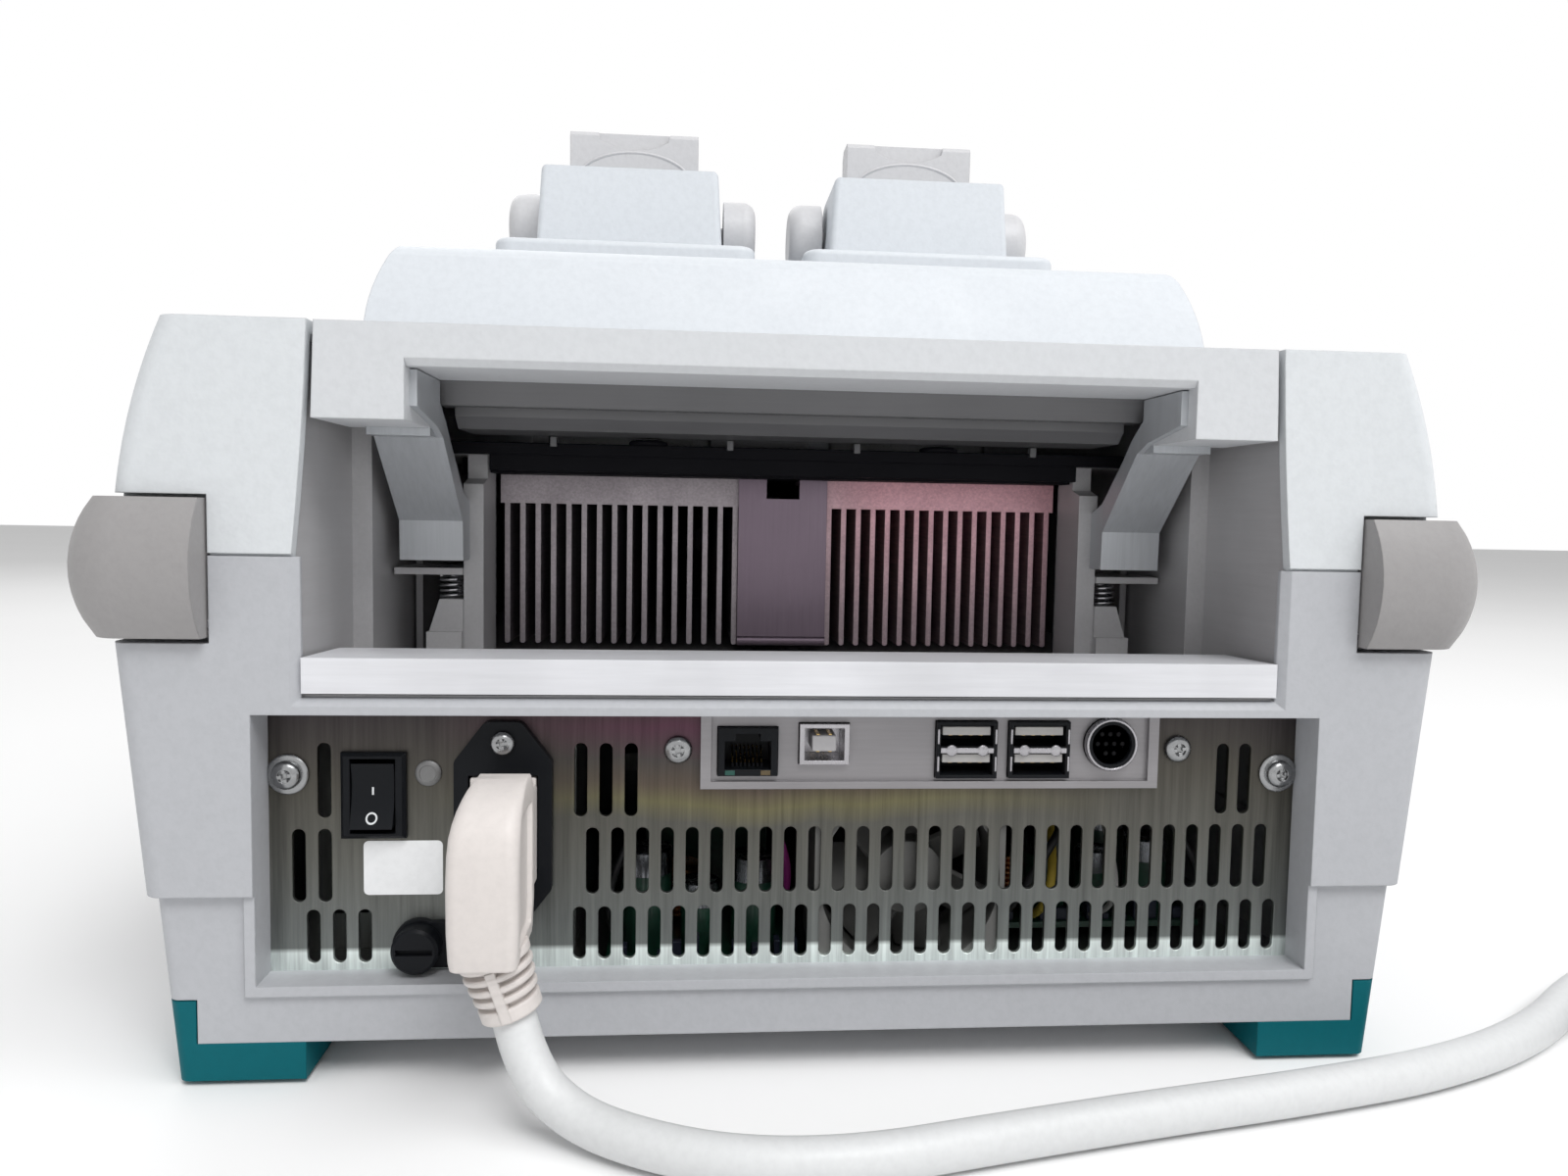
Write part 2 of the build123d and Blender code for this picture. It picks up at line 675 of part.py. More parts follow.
# Case fan behind the slots
base_fan_size = 48.0
base_fan_depth = 25.0
base_fan_centre = (-28.0, back(plate_depth + plate_thickness + base_fan_depth / 2), 43.6)
with BuildPart() as base_fan_frame:
    add(fan_frame(base_fan_centre, base_fan_size, base_fan_depth))
base_fan_frame.part.label = "base_fan_frame"
export_step(base_fan_frame.part, "parts/base_fan_frame.step")

with BuildPart() as base_fan_rotor:
    add(fan_rotor(base_fan_centre, base_fan_size, base_fan_depth))
base_fan_rotor.part.label = "base_fan_rotor"
export_step(base_fan_rotor.part, "parts/base_fan_rotor.step")

# Module bay: liner with floor, stepped side walls, front wall and four legs
liner_top = bay_top - seat_gap
with BuildPart() as module_bay:
    block((-bay_wide_half - bay_wall, back(bay_length), bay_floor_top - bay_floor_thickness),
          (bay_wide_half + bay_wall, back(case_wall + 0.2), bay_floor_top))
    for side in (-1, 1):
        block((side * bay_wide_half, back(bay_step_depth), bay_floor_top),
              (side * (bay_wide_half + bay_wall), back(case_wall + 0.2), liner_top))
        block((side * bay_narrow_half, back(bay_step_depth + bay_wall), bay_floor_top),
              (side * (bay_wide_half + bay_wall), back(bay_step_depth), liner_top))
        block((side * bay_narrow_half, back(bay_length), bay_floor_top),
              (side * (bay_narrow_half + bay_wall), back(bay_step_depth + bay_wall), liner_top))
        for depth in (225.0, 290.0):
            rod((side * 100, back(depth), (pan_top + bay_floor_top - bay_floor_thickness) / 2), 5.0,
                bay_floor_top - bay_floor_thickness - pan_top, "Z")
    block((-bay_narrow_half, back(bay_length), bay_floor_top),
          (bay_narrow_half, back(bay_length - bay_wall), liner_top))
module_bay.part.label = "module_bay"
export_step(module_bay.part, "parts/module_bay.step")

# Sill: the bright folded strip along the foot of the bay opening
sill_half = bay_half - 0.3
sill_low = bay_low + 1.1
sill_top = 99.8
sill_length = 27.0
with BuildPart() as bay_sill:
    add(prism_x([(0.6, sill_low), (0.6, sill_top), (sill_length, sill_top - 1.0),
                 (sill_length, bay_floor_top), (sill_length - 1.6, bay_floor_top),
                 (sill_length - 1.6, sill_top - 2.4), (2.4, sill_top - 1.6), (2.4, sill_low)],
                -sill_half, sill_half))
bay_sill.part.label = "bay_sill"
export_step(bay_sill.part, "parts/bay_sill.step")

# Control housing: front cover with the sloping panel
housing_back = back(bay_length)
slope_high = (housing_back - 6.0, case_top)
slope_low = (front_y + 18.0, 143.0)
slope_angle = degrees(atan2(slope_high[1] - slope_low[1], slope_high[0] - slope_low[0]))


def nose_profile(inset):
    """Side outline of the control housing, inset by a wall, as a wide prism."""
    with BuildPart() as solid:
        with BuildSketch(Plane.YZ.offset(-200)):
            with BuildLine():
                Polyline(
                    (front_y + inset, 0),
                    (front_y + inset, 129.0),
                )
                ThreePointArc(
                    (front_y + inset, 129.0),
                    (front_y + 5.2 + inset * 0.8, 139.2 - inset * 0.7),
                    (slope_low[0] + inset * 0.2, slope_low[1] - inset),
                )
                Polyline(
                    (slope_low[0] + inset * 0.2, slope_low[1] - inset),
                    (slope_high[0] - inset * 0.1, slope_high[1] - inset),
                    (housing_back - inset, slope_high[1] - inset),
                    (housing_back - inset, 0),
                    (front_y + inset, 0),
                )
            make_face()
        extrude(amount=400)
    return solid.part


panel = Plane(
    origin=(0, (slope_high[0] + slope_low[0]) / 2, (slope_high[1] + slope_low[1]) / 2),
    x_dir=(1, 0, 0),
    z_dir=(0, -sin(radians(slope_angle)), cos(radians(slope_angle))),
)
display_place = (-62.0, 4.0)
display_size = (126.0, 88.0)
display_thickness = 1.6
keypad_place = (70.0, 4.0)
keypad_size = (112.0, 92.0)
keypad_thickness = 0.8
with BuildPart() as control_housing:
    add(case_block(0, parting_height + joint_gap, case_top))
    add(case_block(groove_depth, parting_height, parting_height + 2))
    add(nose_profile(0), mode=Mode.INTERSECT)
    with BuildPart(mode=Mode.PRIVATE) as hollow:
        add(case_block(case_wall, parting_height, case_top))
        add(nose_profile(case_wall), mode=Mode.INTERSECT)
    add(hollow.part, mode=Mode.SUBTRACT)
    for place, size, depth in (
        (display_place, display_size, display_thickness),
        (keypad_place, keypad_size, keypad_thickness),
    ):
        with BuildSketch(panel) as pocket:
            with Locations(place):
                RectangleRounded(size[0], size[1], 5)
        extrude(to_extrude=pocket.sketch, amount=-depth, mode=Mode.SUBTRACT)
control_housing.part.label = "control_housing"
export_step(control_housing.part, "parts/control_housing.step")

with BuildPart() as display_window:
    with BuildSketch(panel.offset(-display_thickness)) as pane:
        with Locations(display_place):
            RectangleRounded(display_size[0] - 0.4, display_size[1] - 0.4, 4.8)
    extrude(to_extrude=pane.sketch, amount=display_thickness - 0.1)
display_window.part.label = "display_window"
export_step(display_window.part, "parts/display_window.step")

key_size = (13.0, 9.0)
with BuildPart() as keypad_overlay:
    with BuildSketch(panel.offset(-keypad_thickness)) as sheet:
        with Locations(keypad_place):
            RectangleRounded(keypad_size[0] - 0.4, keypad_size[1] - 0.4, 4.8)
    extrude(to_extrude=sheet.sketch, amount=keypad_thickness)
    with BuildSketch(panel) as domes:
        with Locations((keypad_place[0] + 24, keypad_place[1] - 2)):
            with GridLocations(18, 17, 3, 4):
                RectangleRounded(key_size[0], key_size[1], 2.5)
        with Locations((keypad_place[0] - 30, keypad_place[1] + 14)):
            with PolarLocations(14, 4):
                RectangleRounded(9.5, 9.5, 2.5)
            Circle(5.0)
        with Locations((keypad_place[0] - 30, keypad_place[1] - 27)):
            with GridLocations(20, 1, 2, 1):
                RectangleRounded(16, key_size[1], 2.5)
    extrude(to_extrude=domes.sketch, amount=0.7)
keypad_overlay.part.label = "keypad_overlay"
export_step(keypad_overlay.part, "parts/keypad_overlay.step")

# Locking bar: one U-shaped bar round the front and sides, with sunk ends at the rear
bar_middle = (bar_low + bar_high) / 2
bar_half = (bar_high - bar_low) / 2
bar_corner = front_corner + bar_inner - belt_half
bar_front = front_y - bar_front_gap
with BuildPart() as locking_bar:
    with BuildLine(Plane.XY.offset(bar_middle)) as bar_route:
        Polyline(
            (bar_end_inner, rear_y), (bar_inner, rear_y), (bar_inner, bar_front),
            (-bar_inner, bar_front), (-bar_inner, rear_y), (-bar_end_inner, rear_y),
        )
        fillet(bar_route.vertices().group_by(Axis.Y)[0], radius=bar_corner)
        rear_turns = bar_route.vertices().filter_by(
            lambda point: abs(abs(point.X) - bar_inner) < 0.01 and abs(point.Y - rear_y) < 0.01
        )
        fillet(rear_turns, radius=rear_corner)
    bar_plane = Plane(origin=(bar_end_inner, rear_y, bar_middle), x_dir=(0, 1, 0), z_dir=(1, 0, 0))
    with BuildSketch(bar_plane) as bar_section:
        with BuildLine():
            Polyline((bar_lip, -bar_half), (0, -bar_half), (0, bar_half), (bar_lip, bar_half))
            ThreePointArc((bar_lip, bar_half), (bar_bulge, 0), (bar_lip, -bar_half))
        make_face()
    sweep(sections=bar_section.sketch, path=bar_route.wire())
    for side in (-1, 1):
        block(
            (side * bar_end_inner, back(bar_sunk), bar_low),
            (side * (belt_half - 3.5), rear_y, bar_high),
        )
        block(
            (side * (belt_half - 3.5), back(bar_sunk), bar_low),
            (side * (bar_inner + 0.5), back(2.2), bar_high),
        )
        rod((side * (bar_end_inner + 1.5), back(bar_pivot_depth), bar_pivot_height),
            bar_pin_radius + running_gap, 5.0, mode=Mode.SUBTRACT)
locking_bar.part.label = "locking_bar"
export_step(locking_bar.part, "parts/locking_bar.step")

with BuildPart() as bar_pivot_pins:
    for side in (-1, 1):
        rod((side * (bar_end_inner - 1.6), back(bar_pivot_depth), bar_pivot_height), bar_pin_radius, 10.6)
bar_pivot_pins.part.label = "bar_pivot_pins"
export_step(bar_pivot_pins.part, "parts/bar_pivot_pins.step")

# Rear handle of the module: notched crosspiece across the top of the bay
with BuildPart() as rear_handle:
    with BuildSketch(Plane.XZ.offset(-back(0.4))):
        with BuildLine():
            Polyline(
                (-handle_half_top, handle_top), (handle_half_top, handle_top),
                (handle_half_bottom, handle_bottom), (notch_half, handle_bottom),
                (notch_half, notch_top), (-notch_half, notch_top),
                (-notch_half, handle_bottom), (-handle_half_bottom, handle_bottom),
                close=True,
            )
        make_face()
    extrude(amount=handle_thick)
    notch_edges = rear_handle.faces().sort_by(Axis.Y)[-1].edges().filter_by(
        lambda edge: abs(edge.center().X) < notch_half and edge.center().Z < handle_top - 1
    )
    chamfer(notch_edges, length=1.6)
    block((-handle_half_top, back(deck_back), handle_top - 3),
          (handle_half_top, back(handle_thick), handle_top))
rear_handle.part.label = "rear_handle"
export_step(rear_handle.part, "parts/rear_handle.step")

# Stepped trim under the rear edge of the deck
trim_back = handle_thick + 0.7
with BuildPart() as underdeck_trim:
    add(prism_x([(trim_back, 172.0), (trim_back, notch_top), (31.0, 159.8), (38.5, 159.8), (38.5, 162.4),
                 (33.2, 162.4), (30.4, 166.6), (30.4, 172.0)], -91.0, 91.0))
    add(prism_x([(35.5, 162.4), (35.5, 157.6), (39.0, 154.6), (60.0, 154.6), (60.0, 157.2),
                 (41.0, 157.2), (38.5, 159.0), (38.5, 162.4)], -88.0, 88.0))
underdeck_trim.part.label = "underdeck_trim"
export_step(underdeck_trim.part, "parts/underdeck_trim.step")


def deck_block(inset):
    """Solid inside the deck's outline, inset by a wall."""
    with BuildPart() as solid:
        with BuildSketch(Plane.XZ.offset(inset - back(deck_back))):
            with BuildLine():
                Polyline((0, deck_bottom - 5), (deck_half - inset, deck_bottom - 5),
                         (deck_half - inset, deck_shoulder))
                TangentArc(
                    (deck_half - inset, deck_shoulder), (deck_top_half - inset, deck_top - inset),
                    tangent=(0, 1)
                )
                Polyline((deck_top_half - inset, deck_top - inset), (0, deck_top - inset),
                         (0, deck_bottom - 5))
            make_face()
            mirror(about=Plane.YZ)
        extrude(amount=deck_front - deck_back - 2 * inset)
        with BuildSketch(Plane.YZ.offset(-150)) as side_view:
            with BuildLine():
                Polyline(
                    (back(deck_back + inset), deck_bottom - 5),
                    (back(deck_back + inset), 176.0),
                    (back(50.0 + inset), 200.8 - inset),
                )
                ThreePointArc(
                    (back(50.0 + inset), 200.8 - inset),
                    (back(53.0 + inset), 203.5 - inset),
                    (back(57.5 + inset), deck_top - inset),
                )
                Polyline(
                    (back(57.5 + inset), deck_top - inset),
                    (back(deck_front - 16 - inset), deck_top - inset),
                    (back(deck_front - 2 - inset), 180.0),
                    (back(deck_front - inset), deck_bottom - 5),
                    (back(deck_back + inset), deck_bottom - 5),
                )
            make_face()
        extrude(to_extrude=side_view.sketch, amount=300, mode=Mode.INTERSECT)
    return solid.part


# Deck: the module's upper cover, with an opening over each sample block
deck_hole = (block_width + 6.0, block_length + 6.0)
lid_centres = ((1, "right"), (-1, "left"))
with BuildPart() as module_deck:
    add(deck_block(0))
    add(deck_block(deck_wall), mode=Mode.SUBTRACT)
    block((-200, -300, deck_bottom - 10), (200, 300, deck_bottom), mode=Mode.SUBTRACT)
    for side, name in lid_centres:
        with BuildSketch(Plane.XY.offset(deck_top - 10)) as hole:
            with Locations((side * block_offset, back(block_depth))):
                RectangleRounded(deck_hole[0], deck_hole[1], 3)
        extrude(to_extrude=hole.sketch, amount=20, mode=Mode.SUBTRACT)
module_deck.part.label = "module_deck"
export_step(module_deck.part, "parts/module_deck.step")

# Module frame: mid plate, side walls, pillars, base blocks, guides and the spring bars
frame_bottom = bay_floor_top + 0.2
frame_half = bay_narrow_half - 0.9
frame_wall = 2.0
mid_low = 149.4
mid_top = 151.4
pillar_inner = 86.0
pillar_outer = 91.5
spring_low = 108.5
spring_high = 115.4
spring_place = (95.6, 67.0)
with BuildPart() as module_frame:
    block((-frame_half, back(deck_front), mid_low), (frame_half, back(62), mid_top))
    for side, name in lid_centres:
        block((side * block_offset - block_width / 2 - 1,
               back(block_depth + block_length / 2 + 1), mid_low - 1),
              (side * block_offset + block_width / 2 + 1,
               back(block_depth - block_length / 2 - 1), mid_top + 1),
              mode=Mode.SUBTRACT)
    for side in (-1, 1):
        block((side * (frame_half - frame_wall), back(deck_front), mid_top),
              (side * frame_half, back(bay_step_depth + bay_wall + 1), deck_bottom))
        block((side * (frame_half - frame_wall), back(62), mid_low),
              (side * frame_half, back(bay_step_depth + bay_wall + 1), mid_top))
        block((side * (frame_half - frame_wall), back(deck_front), frame_bottom),
              (side * frame_half, back(84), mid_low))
        add(prism_x([(62, frame_bottom), (62, 141.0), (68, 142.6), (68, mid_low),
                     (81, mid_low), (81, frame_bottom)],
                    *sorted((side * pillar_inner, side * pillar_outer))))
        block((side * pillar_outer, back(81), frame_bottom), (side * 101.2, back(59), 99.4))
        with BuildSketch(Plane.XZ.offset(-back(61))) as guide:
            with BuildLine():
                Polyline((side * pillar_outer, 99.4), (side * 100.9, 99.4), (side * 98.0, spring_low),
                         (side * pillar_outer, spring_low), close=True)
            make_face()
        extrude(to_extrude=guide.sketch, amount=20)
        block((side * pillar_outer, back(81), spring_high), (side * frame_half, back(60.5), 117.3))
    block((-frame_half, back(deck_front), frame_bottom), (frame_half, back(deck_front - frame_wall), mid_low))
    for x in (-48.6, 48.6):
        rod((x, back(deck_front), 121.4), 26.5, 10, "Y", Mode.SUBTRACT)
module_frame.part.label = "module_frame"
export_step(module_frame.part, "parts/module_frame.step")

# Lift arms: bent sheet arms from the handle down to the pillars
arm_inner = 91.5
arm_outer = 106.8
with BuildPart() as lift_arms:
    for side in (-1, 1):
        add(prism_x([(24.0, handle_bottom), (24.0, 151.6), (30.4, 151.6), (53.0, 130.6),
                     (53.4, 119.7), (55.4, 119.7),
                     (55.2, 131.6), (33.2, 152.4), (31.8, handle_bottom)],
                    *sorted((side * arm_inner, side * arm_outer))))
        add(prism_x([(5.0, 157.0), (5.0, 165.3), (27.2, 165.3), (27.2, 160.0), (34.0, 155.6), (40.0, 150.0),
                     (54.0, 138.5), (62.0, 136.0), (62.0, 119.7), (53.4, 119.7), (53.0, 130.6),
                     (30.4, 151.6), (24.0, 154.0)],
                    *sorted((side * (arm_inner - 1.7), side * arm_inner))))
lift_arms.part.label = "lift_arms"
export_step(lift_arms.part, "parts/lift_arms.step")

# Latch springs: small compression springs under the spring bars
wire_radius = 0.45
spring_radius = 3.2
spring_turns = 4
spring_length = spring_high - spring_low - 2 * wire_radius
with BuildPart() as latch_springs:
    for side in (-1, 1):
        base = (side * spring_place[0], back(spring_place[1]), spring_low + wire_radius)
        with BuildLine() as coil_line:
            Helix(spring_length / spring_turns, spring_length, spring_radius, center=base)
        with BuildSketch(Plane(origin=coil_line.line @ 0, z_dir=coil_line.line % 0)) as wire:
            Circle(wire_radius)
        sweep(sections=wire.sketch, path=coil_line.line)
latch_springs.part.label = "latch_springs"
export_step(latch_springs.part, "parts/latch_springs.step")

# Heat sinks: finned extrusions under each block
for side, name in lid_centres:
    with BuildPart() as heat_sink:
        low = sorted((side * sink_inner, side * (sink_inner + sink_width)))
        block((low[0], back(sink_depth + sink_length), sink_top - sink_base),
              (low[1], back(sink_depth), sink_top))
        with BuildSketch(Plane.XZ.offset(-back(sink_depth))) as fins:
            fin_height = sink_top - sink_base - fin_bottom
            with Locations(((low[0] + low[1]) / 2, fin_bottom + fin_height / 2)):
                with GridLocations(fin_pitch, 1, fin_count, 1):
                    Rectangle(fin_thickness, fin_height)
            tips = fins.vertices().group_by(Axis.Y)[0]
            fillet(tips, radius=fin_thickness * 0.42)
        extrude(to_extrude=fins.sketch, amount=sink_length)
    heat_sink.part.label = f"heat_sink_{name}"
    export_step(heat_sink.part, f"parts/heat_sink_{name}.step")

# Centre bracket: folded sheet between the heat sinks
bracket_half = 13.5
bracket_low = 95.3
bracket_high = 144.5
with BuildPart() as centre_bracket:
    block((-bracket_half, back(81.3), bracket_low), (bracket_half, back(80.1), bracket_high))
    block((-5.0, back(82), bracket_high - 5.8), (5.0, back(79), bracket_high + 1), mode=Mode.SUBTRACT)
    block((-bracket_half + 2.4, back(100), bracket_high - 1.2), (-5.4, back(81.3), bracket_high))
    block((5.4, back(100), bracket_high - 1.2), (bracket_half - 2.4, back(81.3), bracket_high))
    rod((0, back(80.7), bracket_low), 1.5, 2 * bracket_half)
centre_bracket.part.label = "centre_bracket"
export_step(centre_bracket.part, "parts/centre_bracket.step")

# Black insulation tray on the heat sinks, with windows for the blocks
tray_half = 96.0
with BuildPart() as insulation_tray:
    block((-tray_half, back(264), sink_top), (tray_half, back(70), mid_low))
    for side, name in lid_centres:
        block((side * block_offset - block_width / 2 - 1,
               back(block_depth + block_length / 2 + 1), sink_top - 1),
              (side * block_offset + block_width / 2 + 1,
               back(block_depth - block_length / 2 - 1), mid_top + 1),
              mode=Mode.SUBTRACT)
    for side in (-1, 1):
        block((side * (pillar_inner - 0.4), back(82), 140), (side * 100, back(60), 160), mode=Mode.SUBTRACT)
insulation_tray.part.label = "insulation_tray"
export_step(insulation_tray.part, "parts/insulation_tray.step")

# Thermoelectric elements between each heat sink and its block
element_gap = 1.0
with BuildPart() as thermoelectric_elements:
    for side, name in lid_centres:
        with Locations((side * block_offset, back(block_depth), (sink_top + block_low) / 2)):
            with GridLocations(28.5, 37.5, 2, 2):
                Box(28.5 - element_gap, 37.5 - element_gap, block_low - sink_top)
thermoelectric_elements.part.label = "thermoelectric_elements"
export_step(thermoelectric_elements.part, "parts/thermoelectric_elements.step")

# Sample blocks: six by eight conical wells at nine millimetre pitch
well_radius = 3.1
well_tip_radius = 1.4
well_depth = 20.0
for side, name in lid_centres:
    with BuildPart() as sample_block:
        with Locations((side * block_offset, back(block_depth), (block_low + block_top) / 2)):
            Box(block_width, block_length, block_top - block_low)
        fillet(sample_block.edges().filter_by(Axis.Z), radius=2)
        with Locations((side * block_offset, back(block_depth), block_top - well_depth / 2)):
            with GridLocations(well_pitch, well_pitch, 6, 8):
                Cone(well_tip_radius, well_radius, well_depth, mode=Mode.SUBTRACT)
    sample_block.part.label = f"sample_block_{name}"
    export_step(sample_block.part, f"parts/sample_block_{name}.step")

# Gaskets: black frames that seal each block to the deck
gasket_width = 2.2
with BuildPart() as block_gaskets:
    for side, name in lid_centres:
        with BuildSketch(Plane.XY.offset(block_top - 6)) as ring:
            with Locations((side * block_offset, back(block_depth))):
                RectangleRounded(block_width + 2 * gasket_width, block_length + 2 * gasket_width, 3.5)
                RectangleRounded(block_width + 0.02, block_length + 0.02, 2, mode=Mode.SUBTRACT)
        extrude(to_extrude=ring.sketch, amount=5)
block_gaskets.part.label = "block_gaskets"
export_step(block_gaskets.part, "parts/block_gaskets.step")

# Module fans: draw air through the fins
module_fan_size = 56.0
module_fan_depth = 20.0
module_fan_height = 121.4
module_fan_back = sink_depth + sink_length + 3.0
with BuildPart() as module_fan_frames:
    for x in (-48.6, 48.6):
        add(fan_frame((x, back(module_fan_back + module_fan_depth / 2), module_fan_height),
                      module_fan_size, module_fan_depth))
module_fan_frames.part.label = "module_fan_frames"
export_step(module_fan_frames.part, "parts/module_fan_frames.step")

for side, name in lid_centres:
    with BuildPart() as module_fan_rotor:
        add(fan_rotor((side * 48.6, back(module_fan_back + module_fan_depth / 2), module_fan_height),
                      module_fan_size, module_fan_depth))
    module_fan_rotor.part.label = f"module_fan_rotor_{name}"
    export_step(module_fan_rotor.part, f"parts/module_fan_rotor_{name}.step")

# Lid hinges: bracket ears on the deck, each with its steel pin
ear_offset = 18.0
ear_half = 2.5
pin_half = 9.0
with BuildPart() as lid_hinges:
    for side, name in lid_centres:
        for ear in (-1, 1):
            x = side * block_offset + ear * ear_offset
            with BuildSketch(Plane.YZ.offset(x - ear_half)) as ear_outline:
                with Locations((back(lid_axis_depth), lid_axis_height)):
                    Circle(4.0)
                with Locations((back(lid_axis_depth), (deck_top + lid_axis_height) / 2)):
                    Rectangle(6.4, lid_axis_height - deck_top)
            extrude(to_extrude=ear_outline.sketch, amount=2 * ear_half)
            rod((x, back(lid_axis_depth), lid_axis_height), lid_pin_radius, 2 * pin_half)
lid_hinges.part.label = "lid_hinges"
export_step(lid_hinges.part, "parts/lid_hinges.step")

# Lid parts, one set over each block
post_radius = 2.4
post_grid = (44.0, 60.0)
lid_front = lid_back + lid_length
lid_plate_low = 188.0
slot_half = arm_half + 1.0


def lid_base_part(centre):
    """Hollow lower lid with hinge bosses and four guide tubes."""
    with BuildPart() as base:
        block((centre - lid_half, back(lid_front), lid_low), (centre + lid_half, back(lid_back), lid_high))
        fillet(base.edges().filter_by(Axis.Z), radius=6)
        chamfer(base.faces().sort_by(Axis.Z)[0].edges().sort_by(Axis.Y)[-1], length=3.2)
        fillet(base.faces().sort_by(Axis.Z)[-1].edges(), radius=2.0)
        block((centre - lid_half + lid_wall, back(lid_front - lid_wall), lid_low - 1),
              (centre + lid_half - lid_wall, back(lid_back + lid_wall), lid_high - lid_wall),
              mode=Mode.SUBTRACT)
        for ear in (-1, 1):
            x = centre + ear * ear_offset
            for end in (-1, 1):
                inner = x + end * (ear_half + 0.5)
                outer = x + end * (pin_half - 0.3)
                with BuildSketch(Plane.YZ.offset(min(inner, outer))) as boss:
                    with Locations((back(lid_axis_depth), lid_axis_height)):
                        Circle(4.0)
                    with Locations((back((lid_back + 2 + lid_axis_depth) / 2), lid_axis_height)):
                        Rectangle(lid_axis_depth - lid_back - 2, 7.0)
                extrude(to_extrude=boss.sketch, amount=abs(outer - inner))
            rod((x, back(lid_axis_depth), lid_axis_height), lid_pin_radius + running_gap, 2 * pin_half + 1,
                mode=Mode.SUBTRACT)
            block((x - ear_half - 0.5, back(lid_axis_depth + 4.6), lid_low - 1),
                  (x + ear_half + 0.5, back(lid_back - 1), lid_axis_height + 4.6), mode=Mode.SUBTRACT)
        for dx in (-post_grid[0] / 2, post_grid[0] / 2):
            for dy in (-post_grid[1] / 2, post_grid[1] / 2):
                place = (centre + dx, back(block_depth) + dy, (lid_low + 1 + lid_high - lid_wall) / 2)
                rod(place, 5.0, lid_high - lid_wall - lid_low - 1, "Z")
                rod((place[0], place[1], (lid_low + lid_high - lid_wall) / 2),
                    post_radius + running_gap, lid_high - lid_wall - lid_low, "Z", Mode.SUBTRACT)
    return base.part


def tower_profile(inset):
    """Side outline of the lid tower and its low nose, inset by a wall."""
    reach = tower_top - lever_height - inset
    with BuildPart() as solid:
        with BuildSketch(Plane.YZ.offset(-200)):
            with BuildLine():
                Polyline(
                    (back(lever_depth), tower_top - inset),
                    (back(tower_back + 1.5 + inset), tower_top - inset),
                    (back(tower_back + inset), lid_high - inset),
                    (back(lid_front - 7 - inset), lid_high - inset),
                    (back(lid_front - 10 - inset), nose_height - 4 - inset),
                    (back(lever_depth + reach - 0.6), nose_height - inset),
                )
                ThreePointArc(
                    (back(lever_depth + reach - 0.6), nose_height - inset),
                    (back(lever_depth + reach * 0.78), lever_height + reach * 0.62),
                    (back(lever_depth), tower_top - inset),
                )
            make_face()
        extrude(amount=400)
    return solid.part


def tower_body(centre, inset):
    """Tapered tower between its two sides, cut to the side outline."""
    with BuildPart() as body:
        with BuildSketch(Plane.XZ.offset(-back(100))):
            with BuildLine():
                Polyline(
                    (centre - tower_half_low + inset, lid_high - 5),
                    (centre + tower_half_low - inset, lid_high - 5),
                    (centre + tower_half_low - inset, lid_high),
                    (centre + tower_half_high - inset, tower_top),
                    (centre - tower_half_high + inset, tower_top),
                    (centre - tower_half_low + inset, lid_high),
                    close=True,
                )
            make_face()
        extrude(amount=200)
        add(tower_profile(inset), mode=Mode.INTERSECT)
    return body.part


def lid_cover_part(centre):
    """Tower on the lid base, with holes for the lever shaft and a slot for its arm."""
    with BuildPart() as cover:
        add(tower_body(centre, 0))
        top_rim = cover.faces().filter_by(lambda face: abs(face.normal_at().X) > 0.9)
        fillet(top_rim.edges().filter_by(lambda edge: edge.center().Z > lid_high + 0.5), radius=2.0)
        add(tower_body(centre, lid_wall), mode=Mode.SUBTRACT)
        rod((centre, back(lever_depth), lever_height),
            lever_shaft_radius + running_gap, 100, mode=Mode.SUBTRACT)
        block((centre - slot_half, back(lever_depth + 20), nose_height - 2.6),
              (centre + slot_half, back(lever_depth - 5.5), tower_top + 5), mode=Mode.SUBTRACT)
    return cover.part


